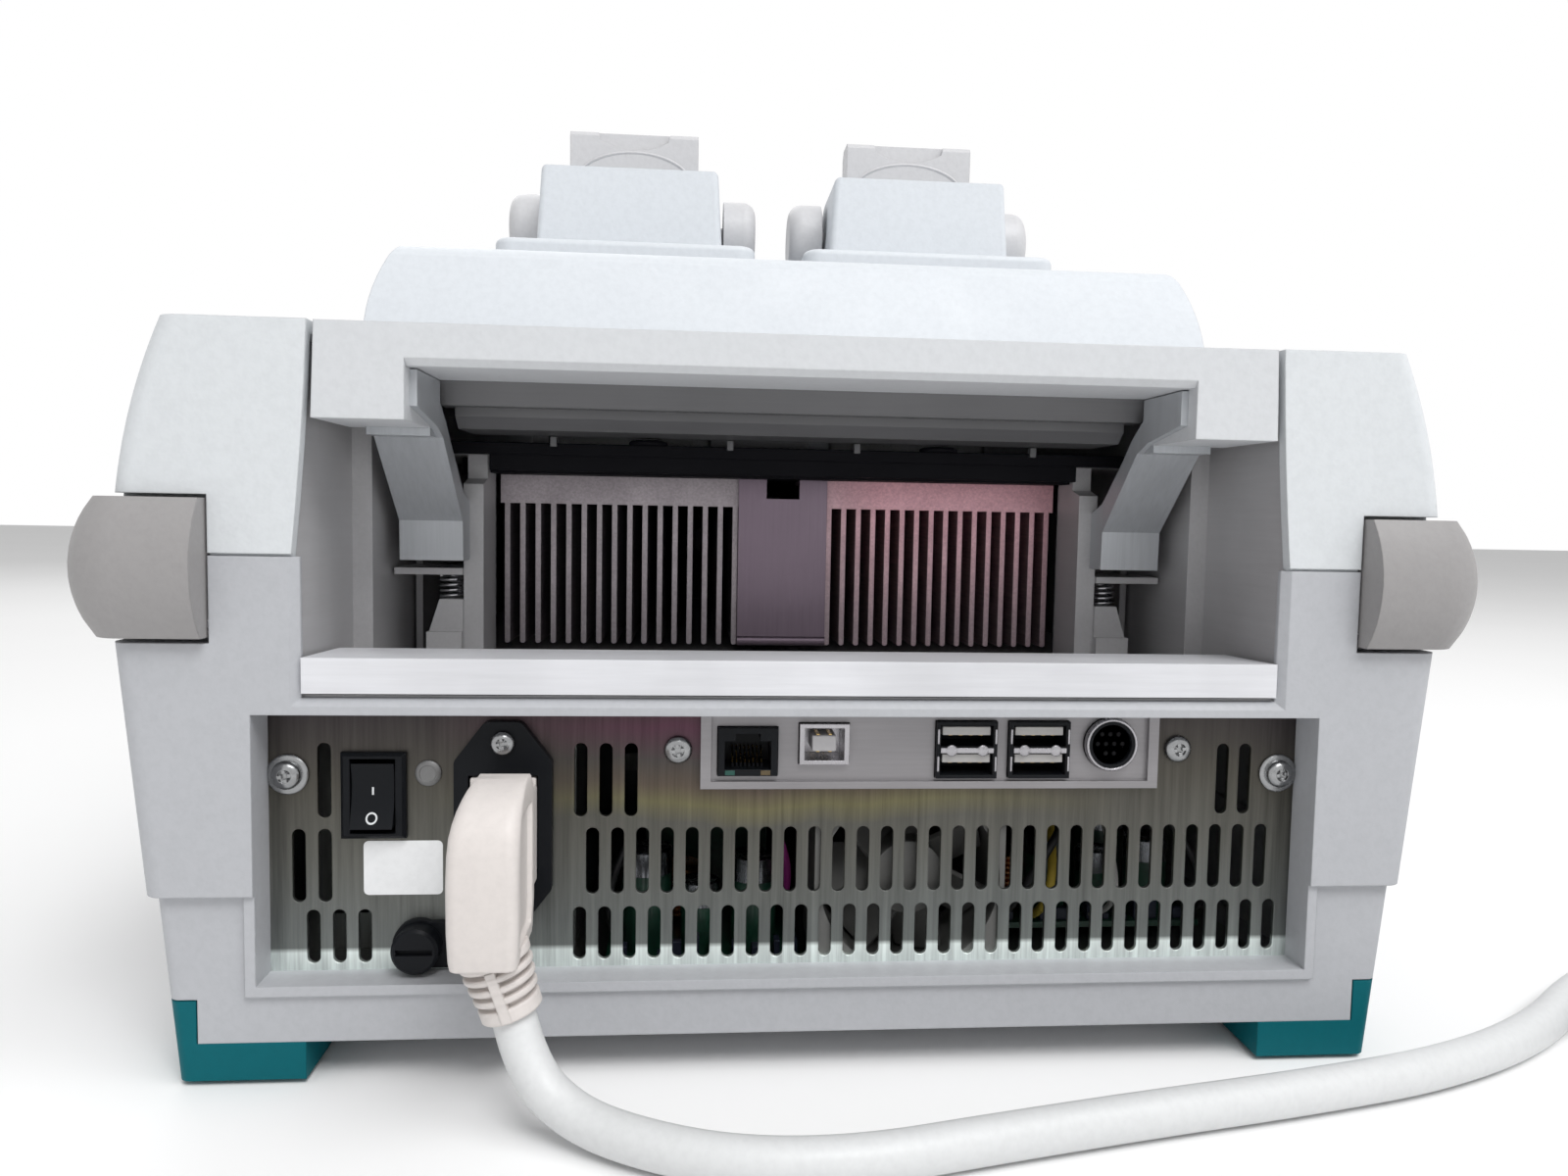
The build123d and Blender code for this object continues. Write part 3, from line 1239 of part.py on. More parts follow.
def lid_lever_part(centre):
    """Two domed hubs on one shaft, with the central arm and the grip."""
    with BuildPart() as lever:
        rod((centre, back(lever_depth), lever_height), lever_shaft_radius, 2 * (tower_half_low + 0.9))
        for side in (-1, 1):
            inner = tower_half_low + 0.6
            rod((centre + side * (inner + hub_outer) / 2, back(lever_depth), lever_height),
                hub_radius, hub_outer - inner)
        hub_rims = lever.edges().filter_by(GeomType.CIRCLE).filter_by(
            lambda edge: abs(edge.center().X - centre) > hub_outer - 0.1
        )
        fillet(hub_rims, radius=4.5)
        block((centre - arm_half, back(lever_depth + 4), lever_height),
              (centre + arm_half, back(lever_depth - 4), grip_top - 10))
        with BuildSketch(Plane.YZ.offset(centre - grip_half)) as grip:
            with BuildLine():
                Polyline(
                    (back(lever_depth - 5.0), tower_top + 1.6), (back(lever_depth - 5.6), grip_top - 1.5),
                    (back(lever_depth - 4.4), grip_top), (back(lever_depth + 4.6), grip_top),
                    (back(lever_depth + 7.0), grip_top - 3), (back(lever_depth + 7.0), tower_top + 4.0),
                    (back(lever_depth + 4.0), tower_top + 1.6), close=True,
                )
            make_face()
        extrude(to_extrude=grip.sketch, amount=2 * grip_half)
        with BuildSketch(Plane.XZ.offset(-back(lever_depth - 7))) as scoop:
            with BuildLine():
                Polyline((centre - 13.5, grip_top + 2), (centre - 12.0, grip_top - 3.0))
                ThreePointArc((centre - 12.0, grip_top - 3.0), (centre, grip_top - 6.2),
                              (centre + 12.0, grip_top - 3.0))
                Polyline((centre + 12.0, grip_top - 3.0), (centre + 13.5, grip_top + 2),
                         (centre - 13.5, grip_top + 2))
            make_face()
        extrude(to_extrude=scoop.sketch, amount=3.4, mode=Mode.SUBTRACT)
    return lever.part


def heated_plate_part(centre):
    """Pressure plate with four guide posts."""
    with BuildPart() as plate:
        with Locations((centre, back(block_depth), lid_plate_low + 4)):
            Box(block_width - 1, block_length - 2, 8)
        fillet(plate.edges().filter_by(Axis.Z), radius=3)
        for dx in (-post_grid[0] / 2, post_grid[0] / 2):
            for dy in (-post_grid[1] / 2, post_grid[1] / 2):
                rod((centre + dx, back(block_depth) + dy, (lid_plate_low + 8 + lid_high - lid_wall - 1) / 2),
                    post_radius, lid_high - lid_wall - 1 - lid_plate_low - 8, "Z")
    return plate.part


for side, name in lid_centres:
    for node, maker in (("lid_base", lid_base_part), ("lid_cover", lid_cover_part),
                        ("lid_lever", lid_lever_part), ("heated_plate", heated_plate_part)):
        with BuildPart() as lid_piece:
            add(maker(side * block_offset))
        lid_piece.part.label = f"{node}_{name}"
        export_step(lid_piece.part, f"parts/{node}_{name}.step")

# Inlet plug: right-angled body, insert and ribbed strain relief
plug_low = 36.5
plug_high = 77.5
plug_back = -27.0
relief_top = (68.6, plug_low)
cord_exit = (64.8, 22.0, 24.5)
with BuildPart() as inlet_plug:
    x, z = inlet_centre
    block((x - 9.0, back(-4), plug_low), (x + 8.4, back(plug_back), plug_high))
    fillet(inlet_plug.edges().filter_by(Axis.Z), radius=4)
    fillet(inlet_plug.faces().sort_by(Axis.Z)[-1].edges(), radius=4)
    block((x - 9.0, back(flange_depth - 0.1), z - 13.2), (x + 9.0, back(-6), z + 13.2))
    block((x - socket_half[0] + 0.3, back(plate_depth + 12), z - socket_half[1] + 0.3),
          (x + socket_half[0] - 0.3, back(flange_depth - 0.2), z + socket_half[1] - 0.3))
    for offset_z, offset_x in ((7.0, 0.0), (0.0, -5.0), (-7.0, 0.0)):
        block((x + offset_x - 1.3, back(plate_depth + 13), z + offset_z - 2.3),
              (x + offset_x + 1.3, back(plate_depth - 1.5), z + offset_z + 2.3), mode=Mode.SUBTRACT)
    relief_axis = Vector(cord_exit[0] - relief_top[0], 0, cord_exit[2] - relief_top[1])
    relief_length = relief_axis.length
    relief_plane = Plane(origin=(relief_top[0], back(-16.5), relief_top[1] + 1), z_dir=relief_axis)
    with BuildSketch(relief_plane) as relief_root:
        Circle(7.6)
    with BuildSketch(relief_plane.offset(relief_length + 1)) as relief_tip:
        Circle(6.0)
    loft(sections=[relief_root.sketch, relief_tip.sketch])
inlet_plug.part.label = "inlet_plug"
export_step(inlet_plug.part, "parts/inlet_plug.step")

# Power cord: from the strain relief along the bench to the coil, and on to the mains plug.
# Each point is X, distance behind the rear face, and height.
relief_end = relief_plane.origin + relief_axis.normalized() * (relief_length + 1)
cord_points = [
    (relief_end.X, relief_end.Y - rear_y, relief_end.Z),
    (61.0, 20.5, 13.5),
    (50.0, 26.0, 5.6),
    (34.0, 35.5, 5.0),
    (15.0, 42.0, 4.9),
    (-9.0, 42.5, 4.9),
    (-38.0, 36.0, 4.9),
    (-75.0, 28.5, 4.9),
    (-114.0, 21.5, 4.9),
    (-154.0, 12.5, 4.9),
    (-191.0, -4.0, 4.9),
    (-221.0, -27.0, 4.9),
    (-248.0, -41.0, 4.9),
    (-272.0, -42.4, 4.9),
]
tail_points = [
    (-274.0, 82.4, 14.6),
    (-254.0, 84.0, 13.6),
    (-235.0, 88.0, 12.3),
    (-219.0, 90.0, 12.0),
]
plug_end = (-219.0, 90.0, 12.0)


def cord_tube(points):
    """Tube along straight runs joined by the largest arcs that the runs allow."""
    places = [Vector(x, rear_y + behind, z) for x, behind, z in points]
    arcs = []
    for before, here, after in zip(places, places[1:], places[2:]):
        turn = radians((here - before).get_angle(after - here))
        shorter = min((here - before).length, (after - here).length)
        arcs.append(0.45 * shorter / tan(turn / 2))
    print("cord arc radii", [round(radius, 1) for radius in arcs])
    with BuildPart() as tube:
        with BuildLine() as route:
            FilletPolyline(*places, radius=arcs)
        with BuildSketch(Plane(origin=places[0], z_dir=places[1] - places[0])):
            Circle(cord_diameter / 2)
        sweep(path=route.wire())
    print("cord length", round(route.wire().length, 1), "volume ratio",
          round(tube.part.volume / (route.wire().length * pi * cord_diameter ** 2 / 4), 4))
    return tube.part


with BuildPart() as power_cord:
    add(cord_tube(cord_points))
    add(cord_tube(tail_points))
power_cord.part.label = "power_cord"
export_step(power_cord.part, "parts/power_cord.step")

with BuildPart() as cord_coil:
    ring_inner = coil_turn_radii[0] - cord_diameter / 2
    ring_outer = coil_turn_radii[-1] + cord_diameter / 2
    ring_height = cord_diameter + coil_layer_rise
    with BuildSketch(Plane.XY):
        with Locations(coil_centre):
            Circle(ring_outer)
            Circle(ring_inner, mode=Mode.SUBTRACT)
    extrude(amount=ring_height)
    fillet(cord_coil.edges().filter_by(GeomType.CIRCLE), radius=3)
cord_coil.part.label = "cord_coil"
export_step(cord_coil.part, "parts/cord_coil.step")

# Mains plug: moulded body with two blades and a ground pin, beside the coil
relief_run = 13.0
plug_run = 34.0
with BuildPart() as mains_plug:
    x, behind, z = plug_end
    y = rear_y + behind
    block((x + relief_run - 1, y - 15, 0), (x + relief_run + plug_run, y + 15, 24))
    fillet(mains_plug.edges().filter_by(Axis.Z), radius=6)
    fillet(mains_plug.faces().filter_by(Axis.Z).edges(), radius=3)
    with BuildSketch(Plane.YZ.offset(x)) as relief_start:
        with Locations((y, z)):
            Circle(cord_diameter / 2 + 0.8)
    with BuildSketch(Plane.YZ.offset(x + relief_run)) as relief_root_far:
        with Locations((y, z)):
            Circle(9.0)
    loft(sections=[relief_start.sketch, relief_root_far.sketch])
    for across in (-6.35, 6.35):
        block((x + relief_run + plug_run - 1, y + across - 0.75, z + 1.0),
              (x + relief_run + plug_run + 16, y + across + 0.75, z + 7.3))
    rod((x + relief_run + plug_run + 8.5, y, z - 6.5), 2.4, 19.0, "X")
mains_plug.part.label = "mains_plug"
export_step(mains_plug.part, "parts/mains_plug.step")
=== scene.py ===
import bmesh
import bpy
import random
from math import cos, pi, radians, sin
from mathutils import Euler, Matrix, Vector


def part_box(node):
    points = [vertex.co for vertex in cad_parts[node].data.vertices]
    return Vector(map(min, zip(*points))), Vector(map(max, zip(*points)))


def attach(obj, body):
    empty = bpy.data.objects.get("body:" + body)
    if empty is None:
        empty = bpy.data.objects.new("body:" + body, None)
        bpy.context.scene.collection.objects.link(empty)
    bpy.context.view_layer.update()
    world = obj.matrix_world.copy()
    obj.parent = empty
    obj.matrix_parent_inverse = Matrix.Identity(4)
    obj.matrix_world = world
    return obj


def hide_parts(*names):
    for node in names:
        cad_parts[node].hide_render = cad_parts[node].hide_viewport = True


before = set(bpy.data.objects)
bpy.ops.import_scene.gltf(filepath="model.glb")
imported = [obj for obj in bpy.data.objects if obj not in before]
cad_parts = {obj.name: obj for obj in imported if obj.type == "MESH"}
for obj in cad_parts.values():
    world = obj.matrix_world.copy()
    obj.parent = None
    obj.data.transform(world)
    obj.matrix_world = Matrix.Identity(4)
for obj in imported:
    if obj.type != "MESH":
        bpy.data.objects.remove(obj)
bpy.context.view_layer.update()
MM = 0.001
HANDLE_INSET = 0.4  # the rear handle lies this far in front of the rear face, in millimetres
REAR_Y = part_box("rear_handle")[1].y + HANDLE_INSET * MM


def at(x, depth, height):
    """Point in metres from X, depth in front of the rear face and height, all in millimetres."""
    return Vector((x * MM, REAR_Y - depth * MM, height * MM))


# Camera, at the photograph's place and lens
CAMERA_PLACE = at(26.1, -248.2, 133.7)
CAMERA_TURN = (86.15, -1.04, 175.39)
CAMERA_LENS, SENSOR_WIDTH = 24.75, 36.0
camera_data = bpy.data.cameras.new("camera")
camera_data.lens = CAMERA_LENS
camera_data.sensor_width = SENSOR_WIDTH
camera_data.clip_start = 0.01
camera = bpy.data.objects.new("camera", camera_data)
camera.location = CAMERA_PLACE
camera.rotation_euler = Euler([radians(angle) for angle in CAMERA_TURN])
bpy.context.collection.objects.link(camera)
bpy.context.scene.camera = camera
bpy.context.scene.view_settings.view_transform = "Standard"


# Procedural materials
class Shader:
    """Builder for one material. Methods that make a pattern return its output socket."""

    def __init__(self, name):
        self.material = bpy.data.materials.new(name)
        self.material.use_nodes = True
        self.nodes = self.material.node_tree.nodes
        self.links = self.material.node_tree.links
        self.bsdf = self.nodes["Principled BSDF"]
        coordinates = self.nodes.new("ShaderNodeTexCoord")
        self.place = coordinates.outputs["Object"]

    def set(self, **values):
        """Constants on the main shader's own sockets."""
        for key, value in values.items():
            self.bsdf.inputs[key.replace("_", " ")].default_value = value
        return self

    def scaled(self, stretch):
        """Object coordinates, multiplied along each axis."""
        mapping = self.nodes.new("ShaderNodeMapping")
        mapping.inputs["Scale"].default_value = stretch
        self.links.new(self.place, mapping.inputs["Vector"])
        return mapping.outputs["Vector"]

    def noise(self, scale, detail=2.0, stretch=(1, 1, 1), rough=0.5):
        node = self.nodes.new("ShaderNodeTexNoise")
        node.inputs["Scale"].default_value = scale
        node.inputs["Detail"].default_value = detail
        node.inputs["Roughness"].default_value = rough
        self.links.new(self.scaled(stretch), node.inputs["Vector"])
        return node.outputs["Fac"]

    def cells(self, scale, stretch=(1, 1, 1)):
        node = self.nodes.new("ShaderNodeTexVoronoi")
        node.inputs["Scale"].default_value = scale
        self.links.new(self.scaled(stretch), node.inputs["Vector"])
        return node.outputs["Distance"]

    def axis(self, name):
        """One object coordinate, in metres."""
        split = self.nodes.new("ShaderNodeSeparateXYZ")
        self.links.new(self.place, split.inputs["Vector"])
        return split.outputs[name]

    def math(self, kind, first, second=0.5):
        node = self.nodes.new("ShaderNodeMath")
        node.operation = kind
        for place, value in enumerate((first, second)):
            if isinstance(value, (int, float)):
                node.inputs[place].default_value = value
            else:
                self.links.new(value, node.inputs[place])
        return node.outputs["Value"]

    def span(self, value, low, high, new_low=0.0, new_high=1.0):
        """Value rescaled from one range to another and held at its ends."""
        node = self.nodes.new("ShaderNodeMapRange")
        for key, number in (("From Min", low), ("From Max", high), ("To Min", new_low), ("To Max", new_high)):
            node.inputs[key].default_value = number
        self.links.new(value, node.inputs["Value"])
        return node.outputs["Result"]

    def ramp(self, factor, stops):
        node = self.nodes.new("ShaderNodeValToRGB")
        elements = node.color_ramp.elements
        while len(elements) < len(stops):
            elements.new(0.5)
        for element, (place, colour) in zip(elements, stops):
            element.position = place
            element.color = (*colour, 1.0)
        self.links.new(factor, node.inputs["Fac"])
        return node.outputs["Color"]

    def mix(self, factor, first, second, blend="MIX"):
        node = self.nodes.new("ShaderNodeMix")
        node.data_type = "RGBA"
        node.blend_type = blend
        for key, value in ((0, factor), (6, first), (7, second)):
            if isinstance(value, (int, float)):
                node.inputs[key].default_value = value
            elif isinstance(value, tuple):
                node.inputs[key].default_value = (*value, 1.0)
            else:
                self.links.new(value, node.inputs[key])
        return node.outputs[2]

    def colour(self, socket):
        self.links.new(socket, self.bsdf.inputs["Base Color"])
        return self

    def roughness(self, socket):
        self.links.new(socket, self.bsdf.inputs["Roughness"])
        return self

    def relief(self, height, strength, distance, edge=0.0):
        """Bump from a pattern, over edges that look rounded by a radius if one is given."""
        bump = self.nodes.new("ShaderNodeBump")
        bump.inputs["Strength"].default_value = strength
        bump.inputs["Distance"].default_value = distance
        self.links.new(height, bump.inputs["Height"])
        if edge:
            rounded = self.nodes.new("ShaderNodeBevel")
            rounded.samples = EDGE_SAMPLES
            rounded.inputs["Radius"].default_value = edge
            self.links.new(rounded.outputs["Normal"], bump.inputs["Normal"])
        self.links.new(bump.outputs["Normal"], self.bsdf.inputs["Normal"])
        return self


EDGE_SAMPLES = 4
MOTTLE, SPECKS, PEBBLES, SHEEN = 9, 520, 700, 60  # pattern sizes of moulded plastic, per metre
GRAIN, CLOUDS = 900, 30  # pattern sizes of sheet metal, per metre
FINE = 0.05 * MM  # depth of drawn and printed relief


def shade(colour, factor):
    """Lighter or darker copy of a colour."""
    return tuple(min(channel * factor, 1.0) for channel in colour)


def moulded(name, colour, roughness=0.5, grain=1.0, edge=0.5 * MM, gloss=0.4):
    """Injection-moulded plastic with a fine spark-eroded grain, faint mottling and handling marks."""
    shader = Shader(name).set(Specular_IOR_Level=gloss)
    cloud = shader.noise(MOTTLE, 3)
    speck = shader.noise(SPECKS, 2, rough=0.6)
    tone = shader.ramp(cloud, [(0.3, shade(colour, 0.988)), (0.7, shade(colour, 1.012))])
    fleck = shader.ramp(speck, [(0.3, (0.955, 0.955, 0.955)), (0.62, (1, 1, 1))])
    shader.colour(shader.mix(1.0, tone, fleck, "MULTIPLY"))
    shader.roughness(shader.span(shader.noise(SHEEN, 3), 0.3, 0.7, roughness - 0.05, roughness + 0.08))
    pebbles = shader.cells(PEBBLES)
    height = shader.math("ADD", shader.math("MULTIPLY", pebbles, 0.6), speck)
    return shader.relief(height, 0.35 * grain, 0.12 * MM, edge).material


def plated(name, colour, roughness, stretch, contrast=0.18, metallic=1.0):
    """Rolled or drawn metal with grain lines along one direction and cloudy tone."""
    shader = Shader(name).set(Metallic=metallic)
    lines = shader.noise(GRAIN, 4, stretch, 0.65)
    cloud = shader.noise(CLOUDS, 3)
    tone = shader.ramp(lines, [(0.25, shade(colour, 1 - contrast)), (0.75, shade(colour, 1 + contrast))])
    veil = shader.ramp(cloud, [(0.3, (0.86, 0.86, 0.86)), (0.7, (1, 1, 1))])
    shader.colour(shader.mix(1.0, tone, veil, "MULTIPLY"))
    shader.roughness(shader.span(lines, 0.3, 0.7, roughness - 0.06, roughness + 0.08))
    return shader.relief(lines, 0.12, FINE, 0.25 * MM).material


# Slotted plate: heights of its lower and upper edge, of the painted coloured reflection and of the pale foot,
# the middle of the painted coloured reflection, where it starts and stops to fade, and how far its edges
# wander
PLATE_LOW, PLATE_HIGH = 0.014, 0.088
REFLECTION_LOW, REFLECTION_HIGH = 0.060, 0.086
FOOT_LOW, FOOT_HIGH = 0.0278, 0.0290
REFLECTION_MIDDLE, REFLECTION_FULL, REFLECTION_GONE = 0.005, 0.03, 0.085
WANDER = 0.016


def zinc_plate():
    """Passivated zinc sheet: vertical rolling grain, a pale green foot, painted dark reflections that darken
    it towards the top, and painted coloured reflections near the top middle.
    """
    shader = Shader("chassis_zinc").set(Metallic=0.9)
    lines = shader.noise(700, 5, (1, 1, 0.03), 0.7)
    cloud = shader.noise(22, 3, (1, 1, 0.6))
    height = shader.axis("Z")
    across = shader.axis("X")
    drift = shader.math("MULTIPLY", shader.math("SUBTRACT", cloud, 0.5), WANDER)
    level = shader.math("ADD", height, drift)
    # Painted dark reflections: the colour darkens from the plate's foot to its top.
    base = shader.ramp(shader.span(level, PLATE_LOW, PLATE_HIGH), [
        (0.0, (0.30, 0.335, 0.32)),
        (0.12, (0.21, 0.23, 0.22)),
        (0.28, (0.155, 0.165, 0.16)),
        (0.50, (0.125, 0.125, 0.113)),
        (0.76, (0.085, 0.080, 0.068)),
        (1.0, (0.050, 0.043, 0.045)),
    ])
    # Painted coloured reflections near the top of the plate, strongest round its middle in X.
    painted_reflection_tints = shader.ramp(shader.span(level, REFLECTION_LOW, REFLECTION_HIGH), [
        (0.0, (1.0, 1.0, 1.0)),
        (0.18, (1.75, 1.65, 0.95)),
        (0.34, (1.25, 1.0, 0.9)),
        (0.55, (0.95, 0.9, 1.0)),
        (0.85, (1.7, 0.75, 1.3)),
        (1.0, (1.5, 0.9, 1.1)),
    ])
    near = shader.math("SUBTRACT", across, REFLECTION_MIDDLE)
    zone = shader.span(shader.math("ABSOLUTE", near), REFLECTION_FULL, REFLECTION_GONE, 0.75, 0.0)
    base = shader.mix(zone, base, shader.mix(1.0, base, painted_reflection_tints, "MULTIPLY"))
    base = shader.mix(shader.span(height, FOOT_HIGH, FOOT_LOW), base, (0.80, 0.87, 0.84))
    grain = shader.ramp(lines, [(0.25, (0.62, 0.62, 0.62)), (0.75, (1.25, 1.25, 1.25))])
    shader.colour(shader.mix(1.0, base, grain, "MULTIPLY"))
    shader.roughness(shader.span(lines, 0.3, 0.7, 0.40, 0.54))
    return shader.relief(lines, 0.15, FINE, 0.4 * MM).material


def extruded_aluminium():
    """Warm grey extrusion with lengthwise draw lines and a pinkish bloom towards the middle."""
    shader = Shader("sink_aluminium").set(Metallic=0.75)
    lines = shader.noise(1500, 3, (1, 0.05, 1), 0.6)
    right = shader.span(shader.axis("X"), 0.010, -0.030)
    low = shader.span(shader.axis("Z"), 0.145, 0.100, 1.0, 0.25)
    base = shader.mix(shader.math("MULTIPLY", right, low), (0.33, 0.295, 0.315), (0.62, 0.34, 0.385))
    grain = shader.ramp(lines, [(0.3, (0.82, 0.82, 0.82)), (0.7, (1.12, 1.12, 1.12))])
    shader.colour(shader.mix(1.0, base, grain, "MULTIPLY"))
    shader.roughness(shader.span(shader.noise(80, 3), 0.3, 0.7, 0.38, 0.52))
    return shader.relief(lines, 0.12, FINE, 0.2 * MM).material


def solder_mask():
    """Green circuit board with copper tracks under the mask."""
    shader = Shader("board_green").set(Coat_Weight=0.3)
    tracks = shader.cells(260, (1, 0.35, 1))
    shader.colour(shader.ramp(tracks, [
        (0.18, (0.008, 0.04, 0.024)),
        (0.3, (0.010, 0.06, 0.034)),
        (0.8, (0.007, 0.035, 0.022)),
    ]))
    shader.roughness(shader.span(shader.noise(90), 0.3, 0.7, 0.3, 0.42))
    return shader.relief(tracks, 0.2, FINE).material


def dark_display():
    """Clear hard-coated window over an unlit display, with faint cell structure."""
    shader = Shader("display_window").set(Coat_Weight=0.5, IOR=1.5)
    cells = shader.cells(900)
    shader.colour(shader.ramp(cells, [(0.2, (0.020, 0.030, 0.030)), (0.7, (0.034, 0.046, 0.044))]))
    shader.roughness(shader.span(shader.noise(40, 3), 0.3, 0.7, 0.10, 0.2))
    return shader.relief(cells, 0.02, 0.02 * MM, 0.3 * MM).material


# The lower case is the covers' plastic painted darker: painted shade for the light that falls off towards the
# bottom.
SHADED_CASE = (0.46, 0.47, 0.495)
COVER = (0.66, 0.685, 0.705)
DECK = (0.66, 0.69, 0.725)
LEVER = (0.58, 0.58, 0.595)
HANDLE = (0.62, 0.635, 0.655)
BAR = (0.31, 0.30, 0.30)
TEAL = (0.0, 0.115, 0.14)
BLACK = (0.007, 0.008, 0.010)
BEIGE = (0.70, 0.655, 0.63)

LOOKS = {
    "case": moulded("case_plastic", SHADED_CASE),
    "cover": moulded("cover_plastic", COVER),
    "deck": moulded("deck_plastic", DECK, grain=0.7),
    "lever": moulded("lever_plastic", LEVER, 0.42),
    "handle": moulded("handle_plastic", HANDLE),
    "bar": moulded("bar_plastic", BAR, grain=1.1),
    "teal": moulded("teal_plastic", TEAL, 0.5, grain=0.8, gloss=0.15),
    "black": moulded("black_plastic", BLACK, 0.38, grain=0.5, edge=0.3 * MM, gloss=0.12),
    "tray": moulded("tray_plastic", (0.006, 0.006, 0.008), 0.6, edge=0.3 * MM, gloss=0.08),
    "rubber": moulded("foot_rubber", (0.02, 0.02, 0.02), 0.8),
    "gasket": moulded("gasket_rubber", (0.010, 0.010, 0.011), 0.7, grain=0.4, gloss=0.1),
    "beige": moulded("beige_vinyl", BEIGE, 0.42, grain=0.35, edge=0.6 * MM),
    "cord": moulded("cord_vinyl", (0.70, 0.71, 0.715), 0.40, grain=0.25, edge=0.0),
    "pale_fan": moulded("pale_fan_plastic", (0.13, 0.13, 0.125), grain=0.4, gloss=0.2),
    "fan": moulded("fan_plastic", (0.02, 0.02, 0.02), grain=0.4),
    "ceramic": moulded("element_ceramic", (0.78, 0.77, 0.73), 0.6),
    "keypad": moulded("keypad_film", (0.30, 0.35, 0.42), 0.35, grain=0.5, edge=0.4 * MM),
    "zinc": zinc_plate(),
    "zinc_sheet": plated("zinc_sheet", (0.42, 0.43, 0.42), 0.42, (1, 1, 0.05)),
    "bay_sheet": plated("bay_sheet", (0.53, 0.525, 0.535), 0.45, (1, 0.04, 1), 0.06, metallic=0.2),
    "bright": plated("bright_sheet", (0.45, 0.45, 0.47), 0.36, (0.04, 1, 1), 0.10, metallic=0.8),
    "sill": plated("sill_sheet", (0.72, 0.725, 0.755), 0.42, (0.04, 1, 1), 0.05, metallic=0.1),
    "arm": plated("arm_sheet", (0.50, 0.52, 0.545), 0.36, (1, 0.3, 0.05), 0.08, metallic=0.3),
    "purple": plated("bracket_sheet", (0.20, 0.155, 0.195), 0.36, (1, 1, 0.05), 0.10, metallic=0.7),
    "trim": plated("trim_sheet", (0.13, 0.13, 0.135), 0.40, (0.03, 1, 1), 0.06, metallic=0.3),
    "steel": plated("pin_steel", (0.52, 0.52, 0.54), 0.22, (1, 1, 1), 0.06),
    "screw": plated("screw_steel", (0.33, 0.335, 0.34), 0.22, (1, 1, 1), 0.10),
    "shell": plated("connector_shell", (0.42, 0.41, 0.43), 0.26, (1, 1, 0.1), 0.10),
    "panel": plated("port_panel_sheet", (0.29, 0.28, 0.29), 0.42, (0.04, 1, 1), 0.08, metallic=0.5),
    "block": plated("block_aluminium", (0.62, 0.63, 0.64), 0.32, (1, 1, 1), 0.05),
    "rivet": plated("rivet_zinc", (0.20, 0.20, 0.20), 0.42, (1, 1, 1), 0.08, metallic=0.7),
    "collar": moulded("collar_plastic", (0.022, 0.022, 0.024), 0.5, grain=0.3, edge=0.1 * MM, gloss=0.2),
    "label": moulded("label_paper", (0.83, 0.84, 0.85), 0.45, grain=0.25, edge=0.0),
    "mark": moulded("mark_white", (0.72, 0.74, 0.75), 0.5, grain=0.2, edge=0.0),
    "tongue": moulded("tongue_plastic", (0.46, 0.45, 0.44), 0.5, grain=0.3, edge=0.1 * MM),
    "insert": moulded("insert_plastic", (0.50, 0.49, 0.50), 0.5, grain=0.3, edge=0.1 * MM),
    "lamp_green": moulded("indicator_green", (0.008, 0.07, 0.055), 0.3, grain=0.2, edge=0.1 * MM),
    "lamp_amber": moulded("indicator_amber", (0.10, 0.07, 0.03), 0.3, grain=0.2, edge=0.1 * MM),
    "can": plated("capacitor_can", (0.26, 0.27, 0.29), 0.25, (1, 1, 0.2), 0.08),
    "sleeve": moulded("capacitor_sleeve", (0.03, 0.035, 0.06), 0.35, grain=0.2, edge=0.2 * MM),
    "yellow": moulded("tape_yellow", (0.62, 0.45, 0.06), 0.5, grain=0.3, edge=0.2 * MM),
    "copper": plated("winding_copper", (0.55, 0.26, 0.12), 0.3, (1, 1, 0.05), 0.2),
    "wire_black": moulded("wire_black", (0.015, 0.015, 0.017), 0.4, grain=0.2, edge=0.0),
    "wire_violet": moulded("wire_violet", (0.32, 0.03, 0.22), 0.4, grain=0.2, edge=0.0),
    "gold": plated("contact_gold", (0.80, 0.58, 0.24), 0.25, (1, 1, 1), 0.05),
    "sink": extruded_aluminium(),
    "board": solder_mask(),
    "display": dark_display(),
}
